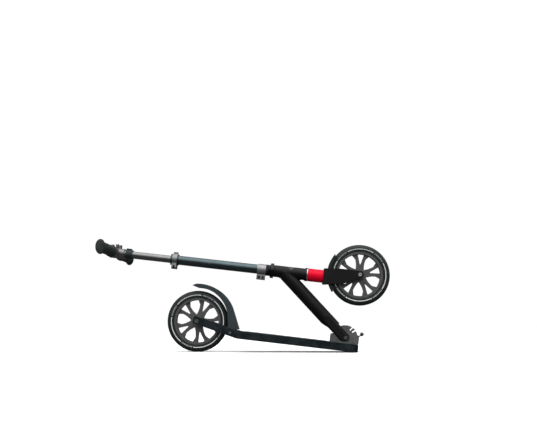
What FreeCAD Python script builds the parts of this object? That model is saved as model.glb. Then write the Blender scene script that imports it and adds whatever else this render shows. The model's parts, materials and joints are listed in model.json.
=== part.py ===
"""Folding kick scooter with two big wheels, stored folded: it stands on its rear wheel and the deck's nose.

Millimetres, +Z up, +X towards the deck's nose. Three local frames carry the design:
  deck frame    origin on the fold pivot, X forward along the deck, Z normal to the deck
  neck frame    origin on the fold pivot, Z up the down tube, X towards the front
  column frame  origin where the front axle squares onto the steering axis, Z up the column, X forward
"""
import FreeCAD, Part
import math
import os

V = FreeCAD.Vector
X_AXIS = V(1, 0, 0)
Y_AXIS = V(0, 1, 0)
Z_AXIS = V(0, 0, 1)

# ---- driving dimensions ----------------------------------------------------------------------
# clearances
RUNNING = 0.06          # radial gap of a shaft that turns or slides in its bore
SEAT = 0.02             # radial gap of a piece that is pressed or pushed onto another
GAP = 0.3               # plain gap between faces of different bodies

# wheels
WHEEL_RADIUS = 102.5
TYRE_WIDTH = 30.0
TYRE_SHOULDER = WHEEL_RADIUS - 12.5    # radius where the flat sidewall ends
RIM_RADIUS = WHEEL_RADIUS - 24.5
RIM_WIDTH = 25.0
HOLE_OUTER = RIM_RADIUS - 6.5          # radius of the spoke holes' outer ends
BIG_HOLE_INNER = 23.0
SMALL_HOLE_INNER = 31.0
SPOKE_THICK = 12.0
HUB_RADIUS = 16.0
FRONT_WHEEL_PHASE = 49.0
REAR_WHEEL_PHASE = 28.0
BEARING_OUTER = 11.0
BEARING_WIDTH = 7.0
HUB_HALF_WIDTH = 12.0
AXLE_RADIUS = 4.0

# deck
DECK_HALF_WIDTH = 55.0
DECK_THICK = 25.7
DECK_DROP = 18.4        # pivot down to the deck's top
DECK_FRONT = 40.4       # pivot forward to the nose
DECK_REAR = -340.0
DECK_WALL = 2.6
DECK_WEB_Y = 13.0
NOSE_LENGTH = 12.0
NOSE_ROUND = 6.0
TAPE_THICK = 0.8
RAIL_THICK = 6.0
RAIL_BEND_X = DECK_REAR - 16.0
RAIL_ABOVE_AXLE = 2.5
RAIL_PAST_AXLE = 13.0
RAIL_INNER_AT_AXLE = 26.0
RAIL_JOG_START = DECK_REAR - 14.0
RAIL_JOG_END = DECK_REAR - 80.0
WHEELBASE_BACK = WHEEL_RADIUS + 54.4 - DECK_REAR    # pivot back to the rear axle
CROSS_THICK = 8.0

# fold
FOLD_TRAVEL = 84.0      # degrees from folded to ridden
STEERING_LEAN = 6.0     # degrees that the steering axis leans back when ridden
PIVOT_BACK = 195.1      # steering axis back to the pivot
PIVOT_RISE = 24.7       # pivot above the column frame's origin, along the steering axis
RAKE = 18.0             # front axle ahead of the steering axis
PIVOT_BOLT_RADIUS = 4.0
PLATE_INNER = 9.0
PLATE_THICK = 4.0
PLATE_RADIUS = 41.0
PLATE_REAR = -50.0
PLATE_FRONT = 45.0
PLATE_SHOULDER = 10.0
BASE_THICK = 4.0
BASE_HALF_WIDTH = 24.0
SLOT_WIDTH = 6.0
SLOT_BOTTOM = 28.0
SLOT_TRAVELS = (0.0, FOLD_TRAVEL, FOLD_TRAVEL + 19.0)
CHEEK_OUTER = 20.0
CHEEK_GAP = 0.4
YOKE_SLOT_DEPTH = 48.0
YOKE_TIP_CENTRE = 9.0
YOKE_HALF_WIDTH = 18.7
YOKE_LENGTH = 93.0
YOKE_PLUG = 24.0
BUSHING_OUTER = 6.0

# lock bolt and its push knob
TONGUE_THICK = 5.0
TONGUE_TIP = 41.6
LOCK_BOLT_RADIUS = 6.0
LOCK_BOLT_TOP = 72.0
LOCK_BORE_TOP = 92.0
LOCK_TRAVEL = 9.5
KNOB_X = 54.0
KNOB_Z = 17.0
KNOB_RADIUS = 6.5
KNOB_ANGLE = 40.0
STEM_RADIUS = 3.0
STEM_LENGTH = 38.0
GUIDE_REAR = 22.0

# down tube and head tube
DOWN_TUBE_RADIUS = 22.35
DOWN_TUBE_WALL = 2.4
CROWN_TOP = WHEEL_RADIUS + 17.5
HEAD_TUBE_BOTTOM = CROWN_TOP + 62.0
TUBE_MEETS = HEAD_TUBE_BOTTOM + 67.136     # where the down tube's middle line meets the steering axis
TUBE_ANGLE = round(math.degrees(math.atan2(PIVOT_BACK, TUBE_MEETS - PIVOT_RISE)), 2)    # between the two
HEAD_TUBE_TOP = HEAD_TUBE_BOTTOM + 106.0
HEAD_TUBE_RADIUS = 20.0
HEAD_TUBE_WALL = 2.6
LOWER_CUP_RADIUS = 22.5
LOWER_CUP_HEIGHT = 10.0
UPPER_CUP_RADIUS = 25.0
UPPER_CUP_HEIGHT = 11.0
CUP_LIP = 10.0
RACE_RADIUS = 18.6
RACE_HEIGHT = 8.0

# fork and column
STEERER_RADIUS = 14.3
STEERER_WALL = 2.6
LOCKNUT_TOP = HEAD_TUBE_TOP + 26.0
STEERER_TOP = LOCKNUT_TOP + 36.0
CROWN_THICK = 11.0
CROWN_HALF_DEPTH = 26.0
LEG_INNER = 19.0
LEG_THICK = 7.0
LEG_END_RADIUS = 12.8
SLEEVE_RADIUS = 21.75
LOCKNUT_RADIUS = 19.0
CLAMP_HEIGHT = 29.0
CLAMP_RADIUS = 18.6
CLAMP_LUG = 16.0
CLAMP_LUG_HALF = 9.0
CLAMP_BOLT_RADIUS = 2.5
OUTER_TUBE_RADIUS = 15.9
OUTER_TUBE_BORE = 14.4
OUTER_TUBE_LENGTH = 316.0
OUTER_TUBE_TOP = LOCKNUT_TOP + OUTER_TUBE_LENGTH
INNER_TUBE_RADIUS = 12.7
INNER_TUBE_WALL = 1.7
INNER_TUBE_BOTTOM = STEERER_TOP + 30.0
INNER_TUBE_TOP = OUTER_TUBE_TOP + 186.0
FOOT_HEIGHT = 12.0
HEIGHT_TRAVEL = 100.0
HEIGHT_STEPS = 3
HEIGHT_BUTTON_T = OUTER_TUBE_TOP - 125.0
HEIGHT_BUTTON_RADIUS = 4.0
HEIGHT_BUTTON_PROUD = 1.8

# quick-release collar
COLLAR_BOTTOM = OUTER_TUBE_TOP - 18.0
COLLAR_TOP = OUTER_TUBE_TOP + 8.0
COLLAR_RADIUS = 19.0
COLLAR_LUG_HALF = 8.0
COLLAR_LUG = 12.0
QR_BOLT_X = -26.0
QR_PIVOT_Y = -15.0
QR_CAM_RADIUS = 6.4
QR_BLADE_INNER = 20.0
QR_BLADE_THICK = 2.6
QR_HALF_WIDTH = 8.0

# handlebar head, folding arms and grips
CLIP_BOTTOM = INNER_TUBE_TOP - 46.0
CLIP_TOP = INNER_TUBE_TOP - 23.0
CLIP_RADIUS = 16.0
HEAD_BARREL_BOTTOM = INNER_TUBE_TOP - 18.0
HEAD_BARREL_TOP = INNER_TUBE_TOP + 31.0
HEAD_BARREL_RADIUS = 17.5
BAR_T = INNER_TUBE_TOP + 12.0
BAR_HALF_HEIGHT = 11.0
BAR_HALF_DEPTH = 12.0
HINGE_Y = 45.0
HINGE_PIN_RADIUS = 3.0
TONGUE_HALF = 4.0
ARM_RADIUS = 11.0
ARM_WALL = 2.0
ARM_START = 12.5        # hinge out to the arm's round body
BAR_HALF_LENGTH = 195.0
GRIP_START = 20.0       # hinge out to the grip's inner flange
GRIP_RADIUS = 16.5
GRIP_FLANGE = 20.0
GRIP_END = 24.0
GRIP_END_LENGTH = 17.0
LOCK_BUTTON_Y = 26.0
LOCK_BUTTON_RADIUS = 4.5
LOCK_BUTTON_TOP = 15.5
LOCK_BUTTON_LENGTH = 9.0
LOCK_BUTTON_POCKET = 3.0

# rear fender brake
FENDER_RADIUS = WHEEL_RADIUS + 23.0
FENDER_HALF_WIDTH = 23.0
FENDER_SHEET = 2.5
FENDER_TIP = 104.8      # degrees about the rear axle, in the deck frame
FENDER_FRONT = 23.5
FENDER_SKIRT = WHEEL_RADIUS + 2.0
FENDER_FOOT_Z = -14.0
FENDER_HINGE_X = DECK_REAR - 41.0
FENDER_HINGE_Z = -27.5
FENDER_PIN_RADIUS = 3.0
FENDER_PIN_HEAD = 4.6
FENDER_PIN_PAST = 2.2    # pin's heads stand off the rails by this much
PAD_THICK = 7.0
PAD_FROM = 48.0
PAD_TO = 70.0

# front mudguard
GUARD_RADIUS = WHEEL_RADIUS + 5.0
GUARD_SHEET = 2.4
GUARD_SKIRT = WHEEL_RADIUS - 5.5
GUARD_HALF_WIDTH = 18.2
GUARD_FORWARD = 34.0    # degrees ahead of the column about the front axle
GUARD_BACK = 38.0
GUARD_SCREW_RADIUS = 2.0
GUARD_SCREW_HEAD = 3.6
GUARD_SCREW_HEAD_HEIGHT = 1.2

# ---- values that follow from them ------------------------------------------------------------
DECK_TOP = -DECK_DROP
DECK_BOTTOM = DECK_TOP - DECK_THICK
DECK_MID = (DECK_TOP + DECK_BOTTOM) / 2
PLATFORM_HALF = DECK_HALF_WIDTH - RAIL_THICK
PLATFORM_FRONT = DECK_FRONT - NOSE_LENGTH
AXLE_BORE = AXLE_RADIUS + RUNNING
LEG_OUTER = LEG_INNER + LEG_THICK
RAIL_OUTER_AT_AXLE = RAIL_INNER_AT_AXLE + RAIL_THICK
CHEEK_INNER = PLATE_INNER + PLATE_THICK + CHEEK_GAP
RACE_BORE = STEERER_RADIUS + SEAT
CUP_POCKET = RACE_RADIUS + RUNNING


def turned(x, z, degrees):
    """The point (x, z) turned about Y, with x going towards -z for a positive angle."""
    a = math.radians(degrees)
    return x * math.cos(a) + z * math.sin(a), -x * math.sin(a) + z * math.cos(a)


def column_origin(fold):
    """The column frame's origin in the deck frame, at a fold angle counted from folded."""
    lean = -(STEERING_LEAN + FOLD_TRAVEL - fold)
    x, z = turned(PIVOT_BACK, -PIVOT_RISE, lean)
    return x, z


def rear_axle_height():
    """Deck-frame height that sets both axles level when the scooter is ridden."""
    x, z = column_origin(FOLD_TRAVEL)
    rise = turned(RAKE, 0.0, -STEERING_LEAN)[1]
    return z + rise


REAR_AXLE_X = -WHEELBASE_BACK
REAR_AXLE_Z = rear_axle_height()


def rest_tilt():
    """Nose-down tilt at which the rear wheel and the nose's round corner both touch the floor."""
    run = DECK_FRONT - NOSE_ROUND - REAR_AXLE_X
    rise = DECK_BOTTOM + NOSE_ROUND - REAR_AXLE_Z
    reach = math.hypot(run, rise)
    drop = WHEEL_RADIUS - NOSE_ROUND
    return math.degrees(math.asin(drop / reach) + math.atan2(rise, run))


TILT = rest_tilt()
_axle = turned(REAR_AXLE_X, REAR_AXLE_Z, TILT)
DECK_FRAME = FreeCAD.Placement(V(-_axle[0], 0, WHEEL_RADIUS - _axle[1]), FreeCAD.Rotation(Y_AXIS, TILT))
_column = column_origin(0.0)
COLUMN_TURN = -(STEERING_LEAN + FOLD_TRAVEL)
COLUMN_FRAME = DECK_FRAME * FreeCAD.Placement(V(_column[0], 0, _column[1]),
                                              FreeCAD.Rotation(Y_AXIS, COLUMN_TURN))
NECK_TURN = COLUMN_TURN + TUBE_ANGLE
NECK_FRAME = DECK_FRAME * FreeCAD.Placement(V(0, 0, 0), FreeCAD.Rotation(Y_AXIS, NECK_TURN))
TUBE_OFFSET = YOKE_HALF_WIDTH - DOWN_TUBE_RADIUS


def wheel_frame(centre, phase):
    """A wheel's own frame: axle along Y, its first big hole at the phase angle above +X."""
    return FreeCAD.Placement(centre, FreeCAD.Rotation(Y_AXIS, -phase))


FRONT_WHEEL_FRAME = wheel_frame(COLUMN_FRAME.multVec(V(RAKE, 0, 0)), FRONT_WHEEL_PHASE)
REAR_WHEEL_FRAME = wheel_frame(DECK_FRAME.multVec(V(REAR_AXLE_X, 0, REAR_AXLE_Z)), REAR_WHEEL_PHASE)


# ---- building blocks -------------------------------------------------------------------------
def block(x0, x1, y0, y1, z0, z1):
    """A box between two corners."""
    return Part.makeBox(x1 - x0, y1 - y0, z1 - z0, V(x0, y0, z0))


def rod_z(radius, z0, z1, x=0.0, y=0.0):
    """A round bar along Z."""
    return Part.makeCylinder(radius, z1 - z0, V(x, y, z0), Z_AXIS)


def rod_y(radius, y0, y1, x=0.0, z=0.0):
    """A round bar along Y."""
    return Part.makeCylinder(radius, y1 - y0, V(x, y0, z), Y_AXIS)


def rod_x(radius, x0, x1, y=0.0, z=0.0):
    """A round bar along X."""
    return Part.makeCylinder(radius, x1 - x0, V(x0, y, z), X_AXIS)


def ring_z(outer, inner, z0, z1):
    """A straight tube along Z."""
    return rod_z(outer, z0, z1).cut(rod_z(inner, z0 - 1, z1 + 1))


def ring_y(outer, inner, y0, y1, x=0.0, z=0.0):
    """A straight tube along Y."""
    return rod_y(outer, y0, y1, x, z).cut(rod_y(inner, y0 - 1, y1 + 1, x, z))


def prism_y(points, y0, y1):
    """A closed outline in the XZ plane, pulled along Y."""
    wire = Part.makePolygon([V(x, y0, z) for x, z in points] + [V(points[0][0], y0, points[0][1])])
    return Part.Face(wire).extrude(V(0, y1 - y0, 0))


def prism_z(points, z0, z1):
    """A closed outline in the XY plane, pulled along Z."""
    wire = Part.makePolygon([V(x, y, z0) for x, y in points] + [V(points[0][0], points[0][1], z0)])
    return Part.Face(wire).extrude(V(0, 0, z1 - z0))


def revolved(points, axis):
    """An (radius, height) outline turned about the given axis through the origin."""
    if axis == "y":
        corners = [V(r, h, 0) for r, h in points]
        direction = Y_AXIS
    else:
        corners = [V(r, 0, h) for r, h in points]
        direction = Z_AXIS
    return Part.Face(Part.makePolygon(corners + [corners[0]])).revolve(V(0, 0, 0), direction, 360)


def polar(radius, degrees):
    """A point on a circle in the XZ plane."""
    a = math.radians(degrees)
    return V(radius * math.cos(a), 0, radius * math.sin(a))


def arc_band(inner, outer, start, end, y0, y1):
    """A stretch of a ring about Y, between two angles above +X."""
    middle = (start + end) / 2
    outer_arc = Part.Arc(polar(outer, start), polar(outer, middle), polar(outer, end)).toShape()
    inner_arc = Part.Arc(polar(inner, end), polar(inner, middle), polar(inner, start)).toShape()
    side_a = Part.LineSegment(polar(outer, end), polar(inner, end)).toShape()
    side_b = Part.LineSegment(polar(inner, start), polar(outer, start)).toShape()
    face = Part.Face(Part.Wire([outer_arc, side_a, inner_arc, side_b]))
    return moved(face.extrude(V(0, y1 - y0, 0)), 0, y0, 0)


def moved(shape, x, y, z):
    """The shape shifted by a vector."""
    copy = shape.copy()
    copy.translate(V(x, y, z))
    return copy


def mirrored(shape):
    """The shape's twin on the other side of the centre plane."""
    return shape.mirror(V(0, 0, 0), Y_AXIS)


def fused(shapes):
    """One solid made of overlapping pieces."""
    whole = shapes[0]
    for other in shapes[1:]:
        whole = whole.fuse(other)
    return whole.removeSplitter()


def rounded(shape, axis, spots, radius):
    """The shape with its edges along one axis filleted where they pass the given spots."""
    edges = []
    for edge in shape.Edges:
        line = edge.Vertexes[-1].Point - edge.Vertexes[0].Point
        if line.Length < 1e-6 or abs(abs(line.normalize().dot(axis)) - 1) > 1e-6:
            continue
        middle = edge.CenterOfMass
        for spot in spots:
            off = middle - spot
            if (off - axis * off.dot(axis)).Length < 0.05:
                edges.append(edge)
                break
    return shape.makeFillet(radius, edges)


def coil(inner, wire, turns, start):
    """A closely wound spring along Z, as a sleeve with one round ridge a turn."""
    outline = [V(inner, 0, start)]
    path = []
    for turn in range(turns):
        low = V(inner + wire / 2, 0, start + turn * wire)
        high = V(inner + wire / 2, 0, start + (turn + 1) * wire)
        crest = V(inner + wire, 0, start + (turn + 0.5) * wire)
        path.append(Part.Arc(low, crest, high).toShape())
    bottom = Part.LineSegment(outline[0], V(inner + wire / 2, 0, start)).toShape()
    top_z = start + turns * wire
    top = Part.LineSegment(V(inner + wire / 2, 0, top_z), V(inner, 0, top_z)).toShape()
    back = Part.LineSegment(V(inner, 0, top_z), V(inner, 0, start)).toShape()
    face = Part.Face(Part.Wire([bottom] + path + [top, back]))
    return face.revolve(V(0, 0, 0), Z_AXIS, 360)


def hex_prism(radius, y0, y1, x=0.0, z=0.0):
    """A hexagonal nut blank along Y; the radius reaches its corners."""
    corners = [(x + radius * math.cos(math.radians(60 * k)), z + radius * math.sin(math.radians(60 * k)))
               for k in range(6)]
    return prism_y(corners, y0, y1)


def bolt_and_nut(shank, head, head_height, half_grip, x, z):
    """A socket-head bolt across Y with its head at -Y, and its nut at +Y."""
    tip = half_grip + head_height + 1.5
    bolt = rod_y(shank, -half_grip - head_height, tip, x, z)
    cap = rod_y(head, -half_grip - head_height, -half_grip, x, z)
    socket = hex_prism(head * 0.5, -half_grip - head_height - 1, -half_grip - head_height * 0.4, x, z)
    nut = hex_prism(head * 1.05, half_grip, half_grip + head_height, x, z)
    nut = nut.cut(rod_y(shank + SEAT, half_grip - 1, tip + 1, x, z))
    return Part.makeCompound([fused([bolt, cap]).cut(socket), nut])


# ---- wheels ----------------------------------------------------------------------------------
def tyre():
    """Solid tyre: flat sidewalls, a round crown and a base that grips the rim."""
    half = TYRE_WIDTH / 2
    base = V(RIM_RADIUS, -half + 2, 0)
    low = V(TYRE_SHOULDER, -half, 0)
    high = V(TYRE_SHOULDER, half, 0)
    base_high = V(RIM_RADIUS, half - 2, 0)
    edges = [Part.LineSegment(base, low).toShape(),
             Part.Arc(low, V(WHEEL_RADIUS, 0, 0), high).toShape(),
             Part.LineSegment(high, base_high).toShape(),
             Part.LineSegment(base_high, base).toShape()]
    return Part.Face(Part.Wire(edges)).revolve(V(0, 0, 0), Y_AXIS, 360)


def big_hole():
    """Egg-shaped opening between two spoke pairs, pointed towards the hub."""
    half = SPOKE_THICK
    span = HOLE_OUTER - BIG_HOLE_INNER
    tip = V(BIG_HOLE_INNER, -half, 0)
    shoulder = V(BIG_HOLE_INNER + span * 0.62, -half, 17.2)
    corner = V(HOLE_OUTER - 1.8, -half, 14.6)
    belly = V(BIG_HOLE_INNER + span * 0.27, -half, 9.8)

    def low(point):
        return V(point.x, point.y, -point.z)

    edges = [Part.Arc(tip, belly, shoulder).toShape(),
             Part.LineSegment(shoulder, corner).toShape(),
             Part.Arc(corner, V(HOLE_OUTER, -half, 0), low(corner)).toShape(),
             Part.LineSegment(low(corner), low(shoulder)).toShape(),
             Part.Arc(low(shoulder), low(belly), tip).toShape()]
    solid = Part.Face(Part.Wire(edges)).extrude(V(0, 2 * half, 0))
    spots = [shoulder, corner, low(corner), low(shoulder)]
    return rounded(solid, Y_AXIS, spots, 3.0)


def small_hole():
    """Narrow triangular opening inside a spoke pair."""
    half = SPOKE_THICK
    corners = [(SMALL_HOLE_INNER, 0.0), (HOLE_OUTER - 1.2, 11.0), (HOLE_OUTER - 1.2, -11.0)]
    solid = prism_y(corners, -half, half)
    spots = [V(x, 0, z) for x, z in corners]
    return rounded(solid, Y_AXIS, spots, 2.0)


def rim():
    """One casting: outer ring, spoke plate with ten openings, and the hub with two bearing seats."""
    ring = ring_y(RIM_RADIUS - SEAT, HOLE_OUTER - 1, -RIM_WIDTH / 2, RIM_WIDTH / 2)
    plate = rod_y(HOLE_OUTER, -SPOKE_THICK / 2, SPOKE_THICK / 2)
    hub = rod_y(HUB_RADIUS, -HUB_HALF_WIDTH, HUB_HALF_WIDTH)
    body = fused([ring, plate, hub])
    for k in range(5):
        opening = big_hole()
        opening.rotate(V(0, 0, 0), Y_AXIS, 72 * k)
        body = body.cut(opening)
        opening = small_hole()
        opening.rotate(V(0, 0, 0), Y_AXIS, 72 * k + 36)
        body = body.cut(opening)
    seat_floor = HUB_HALF_WIDTH - BEARING_WIDTH
    body = body.cut(rod_y(BEARING_OUTER - 1.5, -HUB_HALF_WIDTH - 1, HUB_HALF_WIDTH + 1))
    body = body.cut(rod_y(BEARING_OUTER + SEAT, seat_floor, HUB_HALF_WIDTH + 1))
    return body.cut(rod_y(BEARING_OUTER + SEAT, -HUB_HALF_WIDTH - 1, -seat_floor))


def wheel_bearings():
    """Two ball bearings and the sleeve that keeps them apart."""
    seat_floor = HUB_HALF_WIDTH - BEARING_WIDTH
    bearing = ring_y(BEARING_OUTER, AXLE_BORE, seat_floor, HUB_HALF_WIDTH)
    groove = ring_y(BEARING_OUTER - 2.2, AXLE_BORE + 2.2, HUB_HALF_WIDTH - 0.6, HUB_HALF_WIDTH + 1)
    bearing = bearing.cut(groove)
    sleeve = ring_y(AXLE_BORE + 1.9, AXLE_BORE, -seat_floor, seat_floor)
    return Part.makeCompound([bearing, mirrored(bearing), sleeve])


# ---- deck ------------------------------------------------------------------------------------
def bracket_bolt_spots():
    """The four bolts that hold the folding bracket on the deck."""
    side = BASE_HALF_WIDTH - 5.5
    return [(x, y) for x in (PLATE_REAR + 10, PLATFORM_FRONT - 3) for y in (-side, side)]


def deck_platform():
    """Extruded deck: a flat box with three cavities."""
    body = block(DECK_REAR, PLATFORM_FRONT, -PLATFORM_HALF, PLATFORM_HALF, DECK_BOTTOM, DECK_TOP)
    floor = DECK_BOTTOM + DECK_WALL
    ceiling = DECK_TOP - DECK_WALL
    cells = [(-PLATFORM_HALF + DECK_WALL, -DECK_WEB_Y - DECK_WALL / 2),
             (-DECK_WEB_Y + DECK_WALL / 2, DECK_WEB_Y - DECK_WALL / 2),
             (DECK_WEB_Y + DECK_WALL / 2, PLATFORM_HALF - DECK_WALL)]
    for low, high in cells:
        body = body.cut(block(DECK_REAR - 1, PLATFORM_FRONT + 1, low, high, floor, ceiling))
    for x, y in bracket_bolt_spots():
        body = body.cut(rod_z(CLAMP_BOLT_RADIUS + RUNNING, ceiling - 1, DECK_TOP + 1, x, y))
    return body


def grip_tape():
    """Thin abrasive sheet where the feet stand."""
    half = PLATFORM_HALF - 3
    sheet = block(DECK_REAR + 5, PLATE_REAR - 7, -half, half, DECK_TOP, DECK_TOP + TAPE_THICK)
    spots = [V(x, y, 0) for x in (DECK_REAR + 5, PLATE_REAR - 7) for y in (-half, half)]
    return rounded(sheet, Z_AXIS, spots, 8.0)


def nose_cap():
    """End cap across the deck's front; its lower corner is what the folded scooter stands on."""
    cap = block(PLATFORM_FRONT, DECK_FRONT, -DECK_HALF_WIDTH, DECK_HALF_WIDTH, DECK_BOTTOM, DECK_TOP)
    cap = rounded(cap, Y_AXIS, [V(DECK_FRONT, 0, DECK_BOTTOM)], NOSE_ROUND)
    return rounded(cap, Y_AXIS, [V(DECK_FRONT, 0, DECK_TOP)], 2.0)


def rail():
    """Side rail on +Y: straight along the deck, then bent up and in towards the rear axle."""
    target = REAR_AXLE_Z + RAIL_ABOVE_AXLE
    rise = math.atan2(target - DECK_MID, RAIL_BEND_X - REAR_AXLE_X)
    length = math.hypot(target - DECK_MID, RAIL_BEND_X - REAR_AXLE_X) + RAIL_PAST_AXLE
    half = DECK_THICK / 2
    miter_x = half * math.tan(rise / 2)
    end_x = RAIL_BEND_X - length * math.cos(rise)
    end_z = DECK_MID + length * math.sin(rise)
    top_bend = (RAIL_BEND_X + miter_x, DECK_TOP)
    low_bend = (RAIL_BEND_X - miter_x, DECK_BOTTOM)
    end_top = (end_x + half * math.sin(rise), end_z + half * math.cos(rise))
    end_low = (end_x - half * math.sin(rise), end_z - half * math.cos(rise))
    outline = [(PLATFORM_FRONT, DECK_TOP), top_bend, end_top, end_low, low_bend, (PLATFORM_FRONT, DECK_BOTTOM)]
    side = prism_y(outline, 0, DECK_HALF_WIDTH + 5)
    side = rounded(side, Y_AXIS, [V(top_bend[0], 0, top_bend[1]), V(low_bend[0], 0, low_bend[1])], 70.0)
    side = rounded(side, Y_AXIS, [V(end_top[0], 0, end_top[1]), V(end_low[0], 0, end_low[1])], 5.0)
    back = end_x - half
    path = [(PLATFORM_FRONT, DECK_HALF_WIDTH), (RAIL_JOG_START, DECK_HALF_WIDTH),
            (RAIL_JOG_END, RAIL_OUTER_AT_AXLE), (back, RAIL_OUTER_AT_AXLE), (back, RAIL_INNER_AT_AXLE),
            (RAIL_JOG_END, RAIL_INNER_AT_AXLE), (RAIL_JOG_START, PLATFORM_HALF), (PLATFORM_FRONT, PLATFORM_HALF)]
    plan = prism_z(path, DECK_BOTTOM - 5, end_z + DECK_THICK)
    bends = [V(x, y, 0) for x, y in path[1:3] + path[5:7]]
    plan = rounded(plan, Z_AXIS, bends, 18.0)
    body = side.common(plan)
    body = body.cut(rod_y(AXLE_BORE, 0, DECK_HALF_WIDTH + 5, REAR_AXLE_X, REAR_AXLE_Z))
    return body.cut(rod_y(FENDER_PIN_RADIUS + SEAT, 0, DECK_HALF_WIDTH + 5, FENDER_HINGE_X, FENDER_HINGE_Z))


def rail_left():
    """Rail on the +Y side."""
    return rail()


def rail_right():
    """Rail on the -Y side."""
    return mirrored(rail())


def rear_crossmember():
    """Plate that closes the deck's rear end and ties the rails."""
    return block(DECK_REAR - CROSS_THICK, DECK_REAR, -PLATFORM_HALF, PLATFORM_HALF, DECK_BOTTOM, DECK_TOP)


def lock_slot(travel):
    """Cutter for the slot that the lock bolt drops into after the given fold travel."""
    slot = block(TUBE_OFFSET - SLOT_WIDTH / 2, TUBE_OFFSET + SLOT_WIDTH / 2, -PLATE_INNER - PLATE_THICK - 1,
                 PLATE_INNER + PLATE_THICK + 1, SLOT_BOTTOM, PLATE_RADIUS + 12)
    slot.rotate(V(0, 0, 0), Y_AXIS, NECK_TURN + travel)
    return slot


def knob_axis_point(distance):
    """A point on the push knob's line, at a distance out from the knob's centre."""
    a = math.radians(KNOB_ANGLE)
    return V(KNOB_X + distance * math.cos(a), 0, KNOB_Z + distance * math.sin(a))


def knob_line(radius, start, end):
    """A round bar on the push knob's line."""
    a = math.radians(KNOB_ANGLE)
    return Part.makeCylinder(radius, end - start, knob_axis_point(start), V(math.cos(a), 0, math.sin(a)))


def fold_bracket():
    """Base plate, two slotted cheek plates and the guide block of the push knob, in one casting."""
    floor = DECK_TOP
    top_left = math.degrees(math.acos(-math.sqrt(PLATE_RADIUS ** 2 - PLATE_SHOULDER ** 2) / PLATE_RADIUS))
    tooth = 34.0
    arc_start = V(PLATE_RADIUS * math.cos(math.radians(top_left)), 0, PLATE_RADIUS * math.sin(math.radians(top_left)))
    arc_end = polar(PLATE_RADIUS, tooth)
    corners = [arc_end, V(38, 0, 13), V(PLATE_FRONT, 0, PLATE_SHOULDER), V(PLATE_FRONT, 0, floor),
               V(PLATE_REAR, 0, floor), V(PLATE_REAR, 0, PLATE_SHOULDER), arc_start]
    edges = [Part.Arc(arc_start, polar(PLATE_RADIUS, 90), arc_end).toShape()]
    edges += [Part.LineSegment(a, b).toShape() for a, b in zip(corners, corners[1:])]
    outline = Part.Face(Part.Wire(edges))
    plate = moved(outline.extrude(V(0, PLATE_THICK, 0)), 0, PLATE_INNER, 0)
    plate = rounded(plate, Y_AXIS, [V(PLATE_REAR, 0, PLATE_SHOULDER)], 7.0)
    base = block(PLATE_REAR, DECK_FRONT - 0.4, -BASE_HALF_WIDTH, BASE_HALF_WIDTH, floor, floor + BASE_THICK)
    spots = [V(x, y, 0) for x in (PLATE_REAR, DECK_FRONT - 0.4) for y in (-BASE_HALF_WIDTH, BASE_HALF_WIDTH)]
    base = rounded(base, Z_AXIS, spots, 4.0)
    guide = block(GUIDE_REAR, PLATE_FRONT, -PLATE_INNER, PLATE_INNER, floor, PLATE_SHOULDER - 2)
    body = fused([plate, mirrored(plate), base, guide])
    for travel in SLOT_TRAVELS:
        body = body.cut(lock_slot(travel))
    body = body.cut(rod_y(PIVOT_BOLT_RADIUS + SEAT, -CHEEK_OUTER, CHEEK_OUTER))
    body = body.cut(knob_line(STEM_RADIUS + RUNNING, -STEM_LENGTH - 8, 0))
    body = body.cut(knob_line(STEM_RADIUS + 1.9, -STEM_LENGTH + 8, -STEM_LENGTH + 18))
    for x, y in bracket_bolt_spots():
        body = body.cut(rod_z(CLAMP_BOLT_RADIUS + RUNNING, floor - 1, floor + BASE_THICK + 1, x, y))
    return body


def bracket_bolts():
    """Four button-head bolts through the bracket's base into the deck."""
    head_z = DECK_TOP + BASE_THICK
    bolts = []
    for x, y in bracket_bolt_spots():
        shank = rod_z(CLAMP_BOLT_RADIUS, DECK_TOP - 9, head_z + 1, x, y)
        head = Part.makeCone(4.4, 2.8, 2.6, V(x, y, head_z), Z_AXIS)
        bolts.append(fused([shank, head]))
    return Part.makeCompound(bolts)


def pivot_bolt():
    """Bolt that the whole front end folds about; its heads sit in pockets of the yoke."""
    shank = rod_y(PIVOT_BOLT_RADIUS, -CHEEK_OUTER + 0.5, CHEEK_OUTER - 0.5)
    head = rod_y(5.6, -CHEEK_OUTER + 0.5, -CHEEK_OUTER + 3.3)
    socket = hex_prism(2.8, -CHEEK_OUTER - 1, -CHEEK_OUTER + 2)
    return fused([shank, head, mirrored(head)]).cut(socket)


def push_knob():
    """Round knob that the thumb pushes to let the fold go."""
    ball = Part.makeSphere(KNOB_RADIUS, V(KNOB_X, 0, KNOB_Z))
    return ball.cut(knob_line(STEM_RADIUS - 0.5, -KNOB_RADIUS - 1, -1))


def knob_stem():
    """Steel rod from the knob down into the bracket."""
    stem = knob_line(STEM_RADIUS, -STEM_LENGTH, -KNOB_RADIUS + 0.2)
    neck = knob_line(STEM_RADIUS - 0.5 - SEAT, -KNOB_RADIUS, -1)
    return fused([stem, neck]).cut(Part.makeSphere(KNOB_RADIUS + SEAT, V(KNOB_X, 0, KNOB_Z)).cut(
        knob_line(STEM_RADIUS - 0.5, -KNOB_RADIUS - 1, -1)))


def knob_spring():
    """Spring round the stem that pushes the knob back out."""
    spring = coil(STEM_RADIUS + 0.3, 1.3, 7, 0)
    spring.rotate(V(0, 0, 0), Y_AXIS, 90 - KNOB_ANGLE)
    spot = knob_axis_point(-STEM_LENGTH + 8.3)
    return moved(spring, spot.x, 0, spot.z)


def rear_axle():
    """Rear axle bolt and nut across the rails."""
    return bolt_and_nut(AXLE_RADIUS, 6.5, 4.0, RAIL_OUTER_AT_AXLE, REAR_AXLE_X, REAR_AXLE_Z)


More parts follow.
